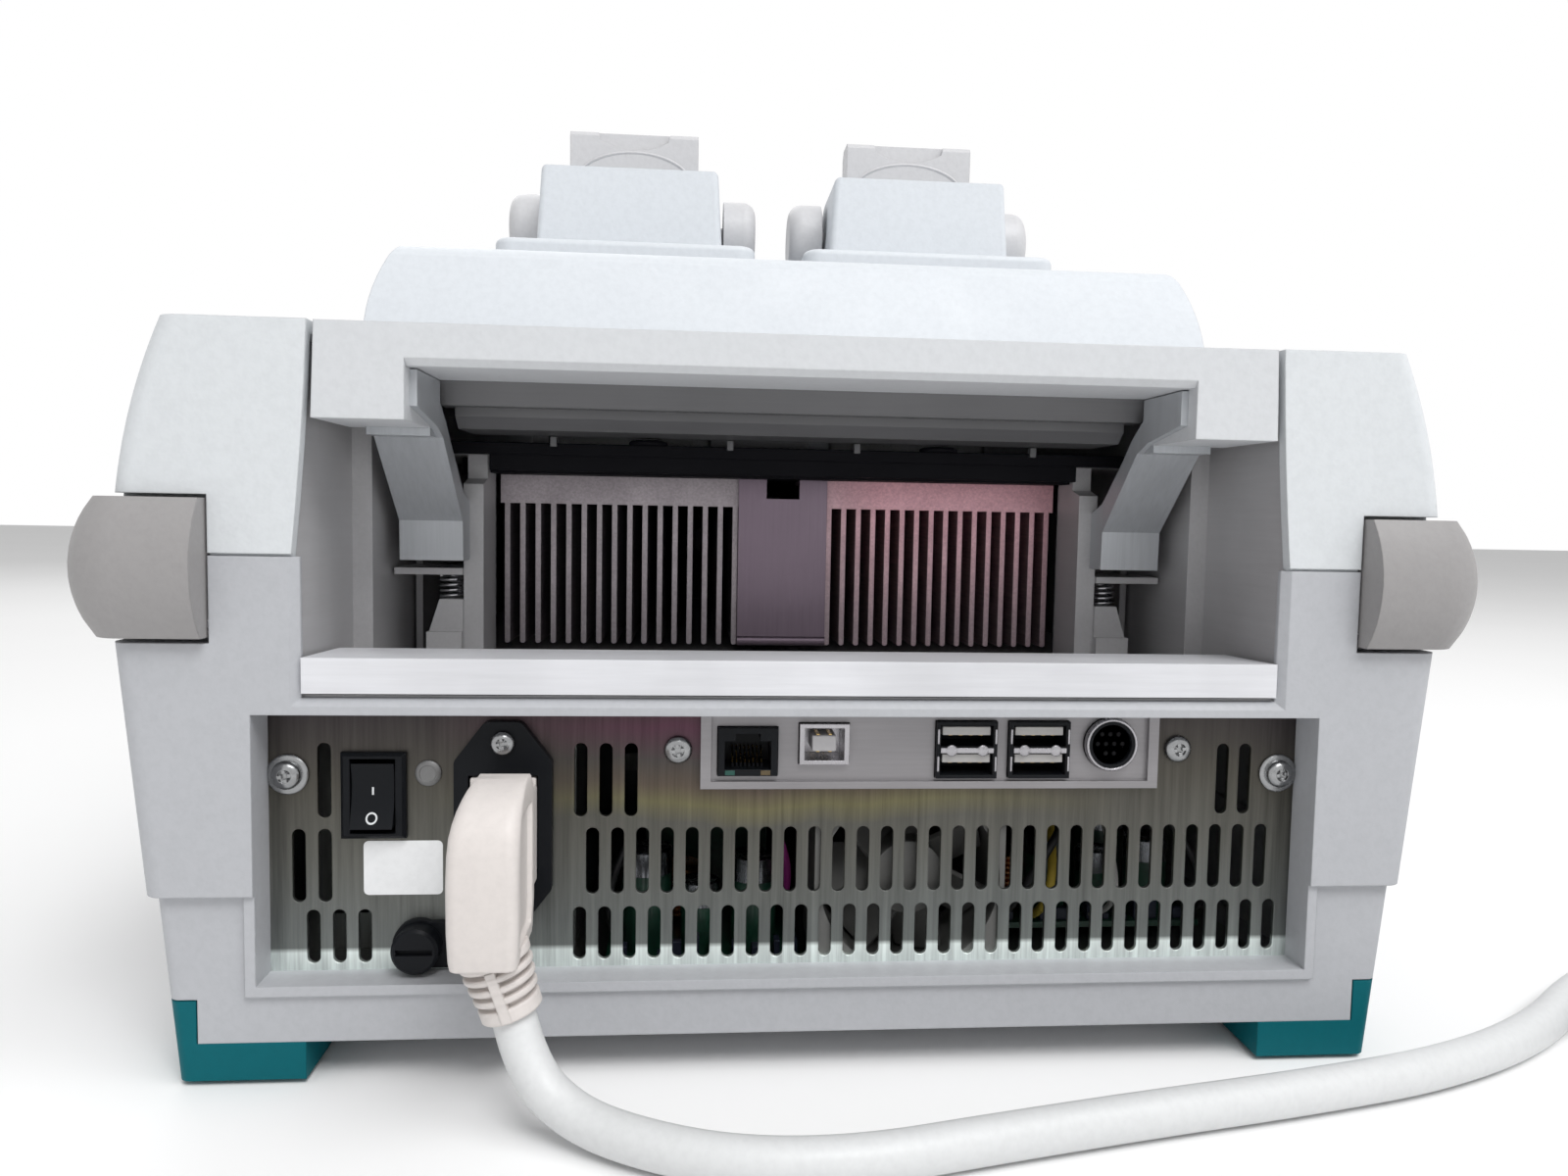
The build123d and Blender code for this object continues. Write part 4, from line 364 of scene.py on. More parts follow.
NODE_LOOKS = {
    "lower_case": "case", "side_cover_left": "cover", "side_cover_right": "cover", "base_pan": "zinc_sheet",
    "corner_feet": "teal", "foot_pads": "rubber", "chassis_plate": "zinc", "rear_screws": "screw",
    "port_panel": "panel", "ethernet_jack": "black", "usb_b_port": "shell", "usb_a_ports": "black",
    "service_port": "black", "power_inlet": "black", "switch_bezel": "black", "switch_rocker": "black",
    "fuse_holder": "black", "fuse_cap": "black", "power_supply": "zinc_sheet", "power_board": "board",
    "main_board": "board", "base_fan_frame": "pale_fan", "base_fan_rotor": "pale_fan",
    "module_bay": "bay_sheet", "bay_sill": "sill", "control_housing": "cover", "display_window": "display",
    "keypad_overlay": "keypad", "locking_bar": "bar", "bar_pivot_pins": "steel", "rear_handle": "handle",
    "underdeck_trim": "trim", "module_deck": "deck", "module_frame": "bay_sheet", "lift_arms": "arm",
    "latch_springs": "steel", "heat_sink_left": "sink", "heat_sink_right": "sink",
    "centre_bracket": "purple", "insulation_tray": "tray", "thermoelectric_elements": "ceramic",
    "sample_block_left": "block", "sample_block_right": "block", "block_gaskets": "gasket",
    "module_fan_frames": "fan", "module_fan_rotor_left": "fan", "module_fan_rotor_right": "fan",
    "lid_hinges": "steel", "lid_base_left": "deck", "lid_base_right": "deck", "lid_cover_left": "deck",
    "lid_cover_right": "deck", "lid_lever_left": "lever", "lid_lever_right": "lever",
    "heated_plate_left": "block", "heated_plate_right": "block", "inlet_plug": "beige",
    "power_cord": "cord", "cord_coil": "cord", "mains_plug": "beige",
}
for node, look in NODE_LOOKS.items():
    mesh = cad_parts[node].data
    mesh.materials.clear()
    mesh.materials.append(LOOKS[look])


# Mesh building
BEVEL_SEGMENTS = 2
BEVEL_ANGLE = 30


def piece(name, look, body, build, smooth=40.0, bevel=0.0):
    """New mesh piece that rides on a body. build fills its mesh, and smooth is its sharpest round edge."""
    mesh = bpy.data.meshes.new(name)
    bm = bmesh.new()
    build(bm)
    bmesh.ops.recalc_face_normals(bm, faces=bm.faces)
    bm.to_mesh(mesh)
    bm.free()
    mesh.materials.append(LOOKS[look])
    obj = bpy.data.objects.new(name, mesh)
    bpy.context.collection.objects.link(obj)
    if bevel:
        edge = obj.modifiers.new("edge", "BEVEL")
        edge.width = bevel * MM
        edge.segments = BEVEL_SEGMENTS
        edge.limit_method = "ANGLE"
        edge.angle_limit = radians(BEVEL_ANGLE)
    mesh.polygons.foreach_set("use_smooth", [True] * len(mesh.polygons))
    mesh.set_sharp_from_angle(angle=radians(smooth))
    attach(obj, body)
    return obj


def add_box(bm, low, high):
    """Box between two corners, each given as X, depth and height in millimetres."""
    a = at(*low)
    b = at(*high)
    size = Vector([abs(q - p) for p, q in zip(a, b)])
    matrix = Matrix.Translation((a + b) / 2) @ Matrix.Diagonal((*size, 1.0))
    bmesh.ops.create_cube(bm, size=1.0, matrix=matrix)


# Turns that lay the Z axis along another one; "Y" runs towards the rear
AXIS_TURNS = {
    "X": Matrix.Rotation(pi / 2, 4, "Y"), "Y": Matrix.Rotation(-pi / 2, 4, "X"), "Z": Matrix.Identity(4),
}


def add_rod(bm, centre, radius, length, axis, sides=32):
    """Round bar about a centre along an axis."""
    bmesh.ops.create_cone(
        bm, cap_ends=True, segments=sides, radius1=radius * MM, radius2=radius * MM, depth=length * MM,
        matrix=Matrix.Translation(at(*centre)) @ AXIS_TURNS[axis],
    )


def circle(radius, sides, middle=(0.0, 0.0)):
    """Points of a regular polygon round a middle."""
    return [
        (middle[0] + radius * cos(2 * pi * k / sides), middle[1] + radius * sin(2 * pi * k / sides))
        for k in range(sides)
    ]


def add_skin(bm, rings):
    """Closed surface through rings of vertices, capped at both ends."""
    for lower, upper in zip(rings, rings[1:]):
        count = len(lower)
        for k in range(count):
            bm.faces.new((lower[k], lower[(k + 1) % count], upper[(k + 1) % count], upper[k]))
    bm.faces.new(rings[0])
    bm.faces.new(rings[-1])


def add_lathe(bm, centre, profile, sides=48, axis="Y", turn=None):
    """Turned shape from (radius, distance along the axis) pairs, closed at both ends."""
    matrix = Matrix.Translation(at(*centre)) @ (turn or AXIS_TURNS[axis])
    add_skin(bm, [
        [bm.verts.new(matrix @ Vector((x * MM, y * MM, distance * MM))) for x, y in circle(radius, sides)]
        for radius, distance in profile
    ])


def add_prism(bm, outline, low, high, axis="X"):
    """Prism between two planes. The outline holds (depth, height) pairs for X and (X, height) pairs for Y."""
    order = {"X": lambda p, s: at(s, p[0], p[1]), "Y": lambda p, s: at(p[0], s, p[1])}[axis]
    add_skin(bm, [[bm.verts.new(order(point, side)) for point in outline] for side in (low, high)])


CURVE_STEPS = 8


def add_tube(name, look, points, radius, order, sides):
    """Round cord or wire along a smooth curve, with control points as X, depth and height."""
    curve = bpy.data.curves.new(name, "CURVE")
    curve.dimensions = "3D"
    curve.bevel_depth = radius * MM
    curve.bevel_resolution = sides
    curve.use_fill_caps = True
    spline = curve.splines.new("NURBS")
    spline.points.add(len(points) - 1)
    for point, place in zip(spline.points, points):
        point.co = (*at(*place), 1.0)
    spline.order_u = order
    spline.use_endpoint_u = True
    spline.resolution_u = CURVE_STEPS
    curve.materials.append(LOOKS[look])
    tube = bpy.data.objects.new(name, curve)
    bpy.context.collection.objects.link(tube)
    return tube


# Power cord: the route of the tube, the turns of the coil and the tail to the mains plug.
# Each point is X, distance behind the rear face, and height.
CORD_DIAMETER = 9.6
CORD_START = [
    (64.5, 16.5, 24.5),
    (61.0, 20.5, 13.5),
    (50.0, 26.0, 5.6),
    (34.0, 35.5, 5.0),
    (15.0, 42.0, 4.9),
    (-9.0, 42.5, 4.9),
    (-38.0, 36.0, 4.9),
    (-75.0, 28.5, 4.9),
    (-114.0, 21.5, 4.9),
    (-154.0, 12.5, 4.9),
    (-191.0, -4.0, 4.9),
    (-221.0, -27.0, 4.9),
    (-248.0, -41.0, 4.9),
]
CORD_TAIL = [
    (-254.0, 84.0, 13.6),
    (-235.0, 88.0, 12.3),
    (-219.0, 90.0, 12.0),
]
COIL_CENTRE = (-272.0, 20.0)
COIL_OUTER = 62.4
COIL_TURNS = 4.5
COIL_FOLD = 2.12  # turns after which the cord climbs on itself and winds outwards again
CLIMB_START, CLIMB_TURNS = 2.0, 0.3
COIL_RISE = 9.7
CORD_REST = 4.9  # height of its centreline on the bench
POINTS_PER_TURN = 16


def coil_points():
    """Turns of the coil, clockwise: inwards on the bench, then outwards on top."""
    points = []
    for step in range(round(COIL_TURNS * POINTS_PER_TURN) + 1):
        turn = step / POINTS_PER_TURN
        angle = -pi / 2 - 2 * pi * turn
        inward = CORD_DIAMETER * (turn if turn < COIL_FOLD else 2 * COIL_FOLD - turn)
        radius = min(COIL_OUTER - inward, COIL_OUTER)
        climb = min(max((turn - CLIMB_START) / CLIMB_TURNS, 0.0), 1.0)
        height = CORD_REST + COIL_RISE * climb * climb * (3 - 2 * climb)
        points.append((COIL_CENTRE[0] + radius * cos(angle), COIL_CENTRE[1] + radius * sin(angle), height))
    return points


route = [(x, -behind, height) for x, behind, height in CORD_START + coil_points() + CORD_TAIL]
mains_cord = add_tube("mains_cord", "cord", route, CORD_DIAMETER / 2, order=3, sides=6)
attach(mains_cord, "instrument")
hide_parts("power_cord", "cord_coil")


# Floor, background and lamps
FLOOR_REACH = 6.0
FLOOR_GAP = 0.0002
AMBIENT = 0.52


def stage_floor():
    """Plain pale table top that fades into the background."""
    mesh = bpy.data.meshes.new("floor")
    corners = [(x * FLOOR_REACH, y * FLOOR_REACH, 0) for x, y in ((-1, -1), (1, -1), (1, 1), (-1, 1))]
    mesh.from_pydata(corners, [], [(0, 1, 2, 3)])
    shader = Shader("floor").set(Specular_IOR_Level=0.1)
    shader.colour(shader.ramp(shader.noise(3), [(0.3, (0.93, 0.93, 0.93)), (0.7, (0.945, 0.945, 0.945))]))
    shader.set(Roughness=0.95)
    mesh.materials.append(shader.material)
    floor = bpy.data.objects.new("floor", mesh)
    floor.location.z = -FLOOR_GAP
    bpy.context.collection.objects.link(floor)


def stage_world():
    """White where the camera sees it, an even level where it lights the object."""
    world = bpy.data.worlds.new("world")
    bpy.context.scene.world = world
    world.use_nodes = True
    nodes = world.node_tree.nodes
    links = world.node_tree.links
    nodes.clear()
    path = nodes.new("ShaderNodeLightPath")
    seen = path.outputs["Is Camera Ray"]
    for ray in ("Is Glossy Ray", "Is Transmission Ray"):
        either = nodes.new("ShaderNodeMath")
        either.operation = "MAXIMUM"
        links.new(seen, either.inputs[0])
        links.new(path.outputs[ray], either.inputs[1])
        seen = either.outputs["Value"]
    mix = nodes.new("ShaderNodeMixShader")
    links.new(seen, mix.inputs["Fac"])
    for place, level in ((1, AMBIENT), (2, 1.0)):
        background = nodes.new("ShaderNodeBackground")
        background.inputs["Color"].default_value = (1, 1, 1, 1)
        background.inputs["Strength"].default_value = level
        links.new(background.outputs["Background"], mix.inputs[place])
    output = nodes.new("ShaderNodeOutputWorld")
    links.new(mix.outputs["Shader"], output.inputs["Surface"])


def stage_lamp(name, place, target, size, power):
    """Square area lamp aimed at a point."""
    data = bpy.data.lights.new(name, "AREA")
    data.size = size
    data.energy = power
    lamp = bpy.data.objects.new(name, data)
    lamp.location = place
    lamp.rotation_euler = (Vector(target) - Vector(place)).to_track_quat("-Z", "Y").to_euler()
    bpy.context.collection.objects.link(lamp)


stage_floor()
stage_world()
stage_lamp("lamp_above", (-0.9, 0.8, 1.8), (0, 0.05, 0.10), 1.3, 15.0)
stage_lamp("lamp_rear", (-0.4, 1.6, 1.9), (0, 0.2, 0.08), 0.9, 23.0)
stage_lamp("lamp_front", (0.6, -1.2, 1.4), (0, 0, 0.12), 1.2, 6.0)


# Connector panel: depths of its faces and places of its parts, in millimetres
PLATE = 10.0
INLET_FLANGE = 7.5
PANEL = 8.4
INLET_X = 71.0

# Screws: pan heads with a cross recess, two of them on washers
HEAD_PROFILE = ((1.0, 0), (1.0, 0.7), (0.93, 1.25), (0.75, 1.75), (0.46, 2.0), (0.44, 1.2), (0.2, 0.9))
WASHER_REACH, WASHER_THICK, WASHER_BEVEL = 1.4, 0.85, (0.3, 0.25)
RECESS_TURN = 0.6 + pi / 4
RECESS_REACH, RECESS_WIDTH, RECESS_DEPTH, RECESS_LEVEL = 0.32, 0.26, 0.8, 1.55
PLATE_SCREWS = (
    # X, height, with a washer
    (121.0, 71.0, True), (-121.0, 71.0, True), (29.9, 76.9, False), (-94.6, 77.2, False),
)
PLATE_SCREW_RADIUS, INLET_SCREW_RADIUS = 3.4, 2.9
INLET_SCREW_HEIGHTS = (39.0, 79.0)
RIVET_X, RIVET_HEIGHT = 88.8, 71.2
RIVET_PROFILE = [(3.1, 0), (3.1, 0.35), (2.8, 0.6), (2.0, 0.8), (1.9, 0.65), (0.4, 0.7)]


def cross_head(bm, x, height, face, radius, washer=False):
    """Domed head with four recess arms, standing towards the rear on a face at a given depth."""
    if washer:
        rim = radius + WASHER_REACH
        inset, drop = WASHER_BEVEL
        add_lathe(bm, (x, face, height), [
            (rim, 0), (rim, WASHER_THICK - drop), (rim - inset, WASHER_THICK), (radius, WASHER_THICK),
        ])
        face -= WASHER_THICK
    add_lathe(bm, (x, face, height), [(radius * share, rise) for share, rise in HEAD_PROFILE], sides=32)
    reach, width = radius * RECESS_REACH, radius * RECESS_WIDTH * MM
    for arm in range(4):
        angle = RECESS_TURN + arm * pi / 2
        middle = at(x + cos(angle) * reach, face - RECESS_LEVEL, height + sin(angle) * reach)
        matrix = (Matrix.Translation(middle) @ Matrix.Rotation(-angle, 4, "Y")
                  @ Matrix.Diagonal((width, RECESS_DEPTH * MM, width, 1)))
        bmesh.ops.create_cube(bm, size=1.0, matrix=matrix)


def build_screws(bm):
    for x, height, washer in PLATE_SCREWS:
        cross_head(bm, x, height, PLATE, PLATE_SCREW_RADIUS, washer)
    for height in INLET_SCREW_HEIGHTS:
        cross_head(bm, INLET_X, height, INLET_FLANGE, INLET_SCREW_RADIUS)


screws = piece("panel_screws", "screw", "instrument", build_screws, 35)
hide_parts("rear_screws")
piece("panel_rivet", "rivet", "instrument",
      lambda bm: add_lathe(bm, (RIVET_X, PLATE, RIVET_HEIGHT), RIVET_PROFILE), 35)

# Inlet plug: right-angled moulding with a crowned back and a sunk side panel, its nose in the socket,
# and a split strain relief
PLUG_ROWS = [
    # height, lowest X, highest X, distance behind the rear face, corner radius
    (37.6, 62.8, 76.0, 25.8, 1.6), (37.9, 62.5, 76.4, 26.3, 2.0), (39.6, 62.3, 76.7, 26.6, 2.2),
    (46.0, 62.0, 77.0, 27.0, 2.4), (56.0, 62.0, 77.1, 27.0, 2.4), (62.0, 62.0, 77.0, 26.6, 2.6),
    (65.5, 62.0, 76.8, 25.8, 2.8), (68.0, 62.1, 76.4, 24.6, 3.0), (70.2, 62.2, 75.9, 22.6, 3.2),
    (72.0, 62.3, 75.3, 20.0, 3.2), (73.2, 62.5, 74.8, 17.0, 3.2), (74.0, 62.7, 74.3, 13.6, 2.6),
    (74.4, 63.0, 74.0, 9.6, 2.0),
]
PLUG_FACE = 4.0  # its front end, behind the rear face
PANEL_LOW, PANEL_HIGH, PANEL_SINK, PANEL_LIP = 41.0, 69.0, 1.1, 0.7
PANEL_NEAR, PANEL_FAR = 7.2, 22.5  # where the side panel starts and ends, behind the rear face
CORNER_STEPS = 6
RELIEF_TOP = (68.6, -16.5, 37.5)
RELIEF_TIP = (64.5, -16.5, 24.5)
RELIEF_CORE = 5.0
RELIEF_RIBS = (
    # start and end along the relief, outer radius
    (-1.2, 0.9, 7.9), (2.1, 3.5, 7.7), (4.7, 6.1, 7.4), (7.3, 8.7, 7.1), (9.9, 13.0, 6.8),
)
SPINE_WIDTH, SPINE_THICK, SPINE_OFFSET, SPINE_LEAN = 2.2, 2.6, 5.9, 0.09


def plug_row(level):
    """The plug's outline values at a height, between the two nearest rows."""
    for one, two in zip(PLUG_ROWS, PLUG_ROWS[1:]):
        if one[0] <= level <= two[0]:
            share = (level - one[0]) / (two[0] - one[0])
            return tuple(a + (b - a) * share for a, b in zip(one, two))
    return PLUG_ROWS[-1]


def build_plug(bm):
    """Skin through level rows; the side towards -X has a sunk flat panel."""
    levels = sorted({row[0] for row in PLUG_ROWS}
                    | {PANEL_LOW, PANEL_LOW + PANEL_LIP, PANEL_HIGH - PANEL_LIP, PANEL_HIGH})
    rings = []
    for level in levels:
        height, low, high, behind, radius = plug_row(level)
        sunk = low + (PANEL_SINK if PANEL_LOW + 0.5 < level < PANEL_HIGH - 0.5 else 0.0)
        far = min(PANEL_FAR, behind - radius - 0.6)
        near = min(PANEL_NEAR, far - 0.8)
        ring = [(high, -PLUG_FACE)]
        for middle, start in ((high - radius, 0.0), (low + radius, pi / 2)):
            for k in range(CORNER_STEPS + 1):
                angle = start + k / CORNER_STEPS * pi / 2
                ring.append((middle + radius * cos(angle), -(behind - radius + radius * sin(angle))))
        ring += [
            (low, -far), (sunk, -far + PANEL_LIP), (sunk, -near), (low, -near + PANEL_LIP), (low, -PLUG_FACE),
        ]
        rings.append([bm.verts.new(at(x, depth, height)) for x, depth in ring])
    add_skin(bm, rings)


def build_plug_nose(bm):
    """Shoulder between the plug and the socket's flange, and the nose inside the socket."""
    add_box(bm, (63.0, 7.4, 46.0), (77.5, -5.0, 69.0))
    add_box(bm, (63.3, 21.5, 47.4), (78.7, 7.4, 70.6))


def build_relief(bm):
    """Tapered core with ribs and an end collar, joined by a spine on the front and the back."""
    start, tip = at(*RELIEF_TOP), at(*RELIEF_TIP)
    down = (tip - start).normalized()
    front = Vector((0, 1, 0))
    turn = Matrix((front.cross(down), front, down)).transposed().to_4x4()
    length = (tip - start).length / MM
    add_lathe(bm, RELIEF_TOP, [(6.2, -1.5), (5.6, 0.0), (4.95, length - 0.5), (4.9, length)], turn=turn)
    for low, high, radius in RELIEF_RIBS:
        add_lathe(bm, RELIEF_TOP, [
            (RELIEF_CORE, low), (radius - 0.3, low), (radius, low + 0.3), (radius - 0.1, high - 0.3),
            (radius - 0.4, high), (RELIEF_CORE, high),
        ], turn=turn)
    for side in (-1, 1):
        matrix = (Matrix.Translation((start + tip) / 2) @ turn
                  @ Matrix.Translation((0, side * SPINE_OFFSET * MM, 0))
                  @ Matrix.Rotation(side * SPINE_LEAN, 4, "X")
                  @ Matrix.Diagonal((SPINE_WIDTH * MM, SPINE_THICK * MM, (length - 1.6) * MM, 1)))
        bmesh.ops.create_cube(bm, size=1.0, matrix=matrix)


inlet_body = piece("inlet_plug_body", "beige", "instrument", build_plug, 32)
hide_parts("inlet_plug")
piece("inlet_plug_nose", "beige", "instrument", build_plug_nose, 40, 0.5)
piece("inlet_plug_relief", "beige", "instrument", build_relief, 35)

# Blank label on the plate, below the switch
LABEL_LOW, LABEL_HIGH, LABEL_CORNER = (85.5, 41.8), (103.9, 54.9), 1.2
LABEL_BACK, LABEL_FACE = PLATE - 0.01, PLATE - 0.12


def rounded_outline(low, high, radius, steps=5):
    """Rectangle between two corners with rounded corners, as a list of points."""
    points = []
    for x, y, quarter in ((high[0] - radius, high[1] - radius, 0), (low[0] + radius, high[1] - radius, 1),
                          (low[0] + radius, low[1] + radius, 2), (high[0] - radius, low[1] + radius, 3)):
        for k in range(steps + 1):
            angle = (quarter + k / steps) * pi / 2
            points.append((x + radius * cos(angle), y + radius * sin(angle)))
    return points


piece("fuse_label", "label", "instrument", lambda bm: add_prism(
    bm, rounded_outline(LABEL_LOW, LABEL_HIGH, LABEL_CORNER), LABEL_BACK, LABEL_FACE, "Y"))

# Rocker marks: a bar on the upper half and a ring on the lower half, laid on the curved face
ROCKER_X, ROCKER_HEIGHT = 101.2, 66.1
ROCKER_ARC = ((7.8, 7.8), (8.4, 0.0), (6.0, -7.4))  # depth and level of three points of the face
MARK_PROUD, MARK_SUNK = 0.06, 0.1
BAR_HALF, BAR_LOW, BAR_STEP, BAR_POINTS = 0.22, 0.3, 0.45, 5
RING_LEVEL, RING_INNER, RING_OUTER, RING_POINTS = -5.0, 0.95, 1.35, 28


def rocker_depth(level):
    """Depth of the rocker's face at a height above its middle, on the circle through three points."""
    (a, p), (b, q), (c, r) = ROCKER_ARC
    twice = 2 * (a * (q - r) + b * (r - p) + c * (p - q))
    squares = [u * u + v * v for u, v in ROCKER_ARC]
    mid_depth = (squares[0] * (q - r) + squares[1] * (r - p) + squares[2] * (p - q)) / twice
    mid_level = (squares[0] * (c - b) + squares[1] * (a - c) + squares[2] * (b - a)) / twice
    radius = ((a - mid_depth) ** 2 + (p - mid_level) ** 2) ** 0.5
    reach = (radius * radius - (level - mid_level) ** 2) ** 0.5
    return mid_depth + reach if mid_depth < b else mid_depth - reach


def add_ribbon(bm, points, closed):
    """Flat ribbon on the rocker from pairs of (X, level) points, just proud of its face."""
    rows = [
        [bm.verts.new(at(ROCKER_X + x, rocker_depth(level) + sink, ROCKER_HEIGHT + level))
         for x, level in pair for sink in (-MARK_PROUD, MARK_SUNK)]
        for pair in points
    ]
    count = len(rows)
    for k in range(count if closed else count - 1):
        a, b = rows[k], rows[(k + 1) % count]
        for one, two in ((0, 2), (2, 3), (3, 1), (1, 0)):
            bm.faces.new((a[one], b[one], b[two], a[two]))
    if not closed:
        for row in (rows[0], rows[-1]):
            bm.faces.new((row[0], row[2], row[3], row[1]))


def build_marks(bm):
    bar = [BAR_LOW + BAR_STEP * k for k in range(BAR_POINTS)]
    add_ribbon(bm, [((-BAR_HALF, level), (BAR_HALF, level)) for level in bar], False)
    inner, outer = (circle(radius, RING_POINTS, (0.0, RING_LEVEL)) for radius in (RING_INNER, RING_OUTER))
    add_ribbon(bm, list(zip(inner, outer)), True)


piece("rocker_marks", "mark", "switch_rocker", build_marks)

# Data connectors: contacts, tongues, inserts and indicator windows
USB_STACKS = ((-33.1, -48.1), (-51.3, -66.4))  # highest and lowest X of each stack
USB_LEVELS = (71.0, 77.8)  # foot of each socket
USB_PITCH = 2.5
STACK_FOOT, STACK_TOP = 70.1, 84.2
JACK_MIDDLE, JACK_PITCH, JACK_CONTACTS = 13.1, 1.02, 8
JACK_CONTACT = [(12.0, 72.6), (12.0, 72.95), (16.8, 76.6), (16.8, 76.2)]  # depth and height of its corners
USB_B_X = -5.45
ROUND_X, ROUND_HEIGHT = -76.9, 78.6
PIN_PITCH, PIN_RADIUS = 2.1, 0.55
PIN_ROWS = ((2.4, 3), (0.0, 4), (-2.4, 2))  # level above the middle and number of holes
LAMPS = (("jack_lamp_left", "lamp_green", 17.4), ("jack_lamp_right", "lamp_amber", 8.8))


def build_tongues(bm):
    for left, right in USB_STACKS:
        for base in USB_LEVELS:
            add_box(bm, (right + 1.5, 17.0, base + 2.9), (left - 1.5, PANEL + 0.5, base + 5.0))


def build_contacts(bm):
    """Flat contacts of the USB sockets, and sloping ones in the network jack."""
    for left, right in USB_STACKS:
        for base in USB_LEVELS:
            for k in range(4):
                x = (left + right) / 2 + (k - 1.5) * USB_PITCH
                add_box(bm, (x - 0.5, 16.0, base + 2.65), (x + 0.5, PANEL + 1.4, base + 2.95))
    for k in range(JACK_CONTACTS):
        x = JACK_MIDDLE + (k - (JACK_CONTACTS - 1) / 2) * JACK_PITCH
        add_prism(bm, JACK_CONTACT, x - 0.2, x + 0.2)
    for level in (76.6, 80.7):
        for x in (USB_B_X - 1.5, USB_B_X + 1.5):
            add_box(bm, (x - 0.4, 15.0, level - 0.15), (x + 0.4, PANEL + 0.9, level + 0.15))


def build_shell_parts(bm):
    """Bright lips between the sockets of each USB stack, side springs, and the round socket's ring."""
    for left, right in USB_STACKS:
        add_box(bm, (right + 0.9, PANEL + 2, 76.45), (left - 0.9, PANEL - 0.75, 77.75))
        for x in (right + 3.6, left - 3.6):
            add_lathe(bm, (x, PANEL - 0.6, 77.1), [(1.5, 0), (1.3, 0.25), (0.7, 0.42)], sides=20)
        for base in USB_LEVELS:
            for x in (right + 0.35, left - 0.35):
                add_box(bm, (x - 0.25, PANEL + 1, base + 0.9), (x + 0.25, PANEL - 0.7, base + 4.6))
    add_lathe(bm, (ROUND_X, PANEL + 0.5, ROUND_HEIGHT), [
        (6.6, 0), (6.6, 1.3), (6.35, 1.7), (5.9, 1.7), (5.75, 1.3), (5.75, -2.0),
    ])


def build_collars(bm):
    """Black surrounds of the USB stacks and the insulator of the round socket."""
    for left, right in USB_STACKS:
        for x in (right - 0.1, left - 0.9):
            add_box(bm, (x, PANEL + 0.5, STACK_FOOT), (x + 1.0, PANEL - 0.3, STACK_TOP))
        for level in (STACK_FOOT, 76.2, 77.4, 83.5):
            add_box(bm, (right + 0.2, PANEL + 0.5, level), (left - 0.2, PANEL - 0.35, level + 0.6))
    add_lathe(bm, (ROUND_X, PANEL + 2.4, ROUND_HEIGHT), [(5.7, 0), (5.7, 1.6), (5.4, 1.9), (1.0, 1.9)])


# Dark discs on the insulator's face where the pin holes are: painted shade in place of holes.
def build_pin_hole_shade(bm):
    for level, count in PIN_ROWS:
        for k in range(count):
            x = ROUND_X + (k - (count - 1) / 2) * PIN_PITCH
            add_rod(bm, (x, PANEL + 0.5, ROUND_HEIGHT + level), PIN_RADIUS, 0.12, "Y", 16)


piece("usb_tongues", "tongue", "instrument", build_tongues, 40, 0.15)
piece("socket_contacts", "gold", "instrument", build_contacts)
piece("socket_shell_parts", "shell", "instrument", build_shell_parts, 40, 0.1)
piece("socket_collars", "collar", "instrument", build_collars, 40, 0.08)
piece("socket_pin_hole_shade", "gasket", "instrument", build_pin_hole_shade)
piece("usb_b_insert", "insert", "instrument",
      lambda bm: add_box(bm, (-8.4, 17.0, 76.7), (-2.5, PANEL + 0.3, 80.6)), 40, 0.3)
for name, look, x in LAMPS:
    piece(name, look, "instrument",
          lambda bm, x=x: add_box(bm, (x - 1.2, 9.5, 71.0), (x + 1.2, 7.9, 72.2)), 40, 0.12)

# Parts of the boards that show behind the slots
CANS = (
    # X, depth, radius, height of the top
    (-105, 50, 6.0, 42.6), (-90, 52, 5.0, 38.6), (-75, 50, 6.0, 44.6), (10, 30, 6.0, 44.6),
    (24, 28, 5.0, 38.6), (38, 30, 6.5, 46.6), (10, 48, 4.0, 34.6), (-98, 70, 8.0, 46.6),
)
BOARD_FACE = 20.6
BOARD_EDGES = ((-117, -61, 43.5), (-1, 47, 20.5))  # lowest and highest X, depth of the edge
WINDINGS = ((30, 52), (-68, 62))
WINDING_TURNS, WINDING_PITCH, WINDING_FOOT = 9, 1.5, 22.0
WINDING_PROFILE = [(6.2, 0), (6.9, 0.4), (6.9, 1.0), (6.2, 1.4)]


def build_cans(bm):
    for x, depth, radius, top in CANS:
        add_lathe(bm, (x, depth, top), [
            (radius + 0.1, -6.0), (radius + 0.1, 0.0), (radius - 0.6, 0.5), (radius - 0.9, 0.3), (0.2, 0.2),
        ], sides=40, axis="Z")


def build_board_parts(bm):
    """Small parts scattered along the edge of each power board."""
    draw = random.Random(7)
    for low, high, near in BOARD_EDGES:
        x = low
        while x < high - 3:
            wide = draw.uniform(1.4, 3.6)
            tall = draw.uniform(1.2, 6.0)
            deep = draw.uniform(2.0, 4.5)
            add_box(bm, (x, near + deep, BOARD_FACE), (x + wide, near, BOARD_FACE + tall))
            x += wide + draw.uniform(1.0, 3.4)


def build_windings(bm):
    for x, depth in WINDINGS:
        for turn in range(WINDING_TURNS):
            add_lathe(bm, (x, depth, WINDING_FOOT + turn * WINDING_PITCH), WINDING_PROFILE, axis="Z", sides=32)


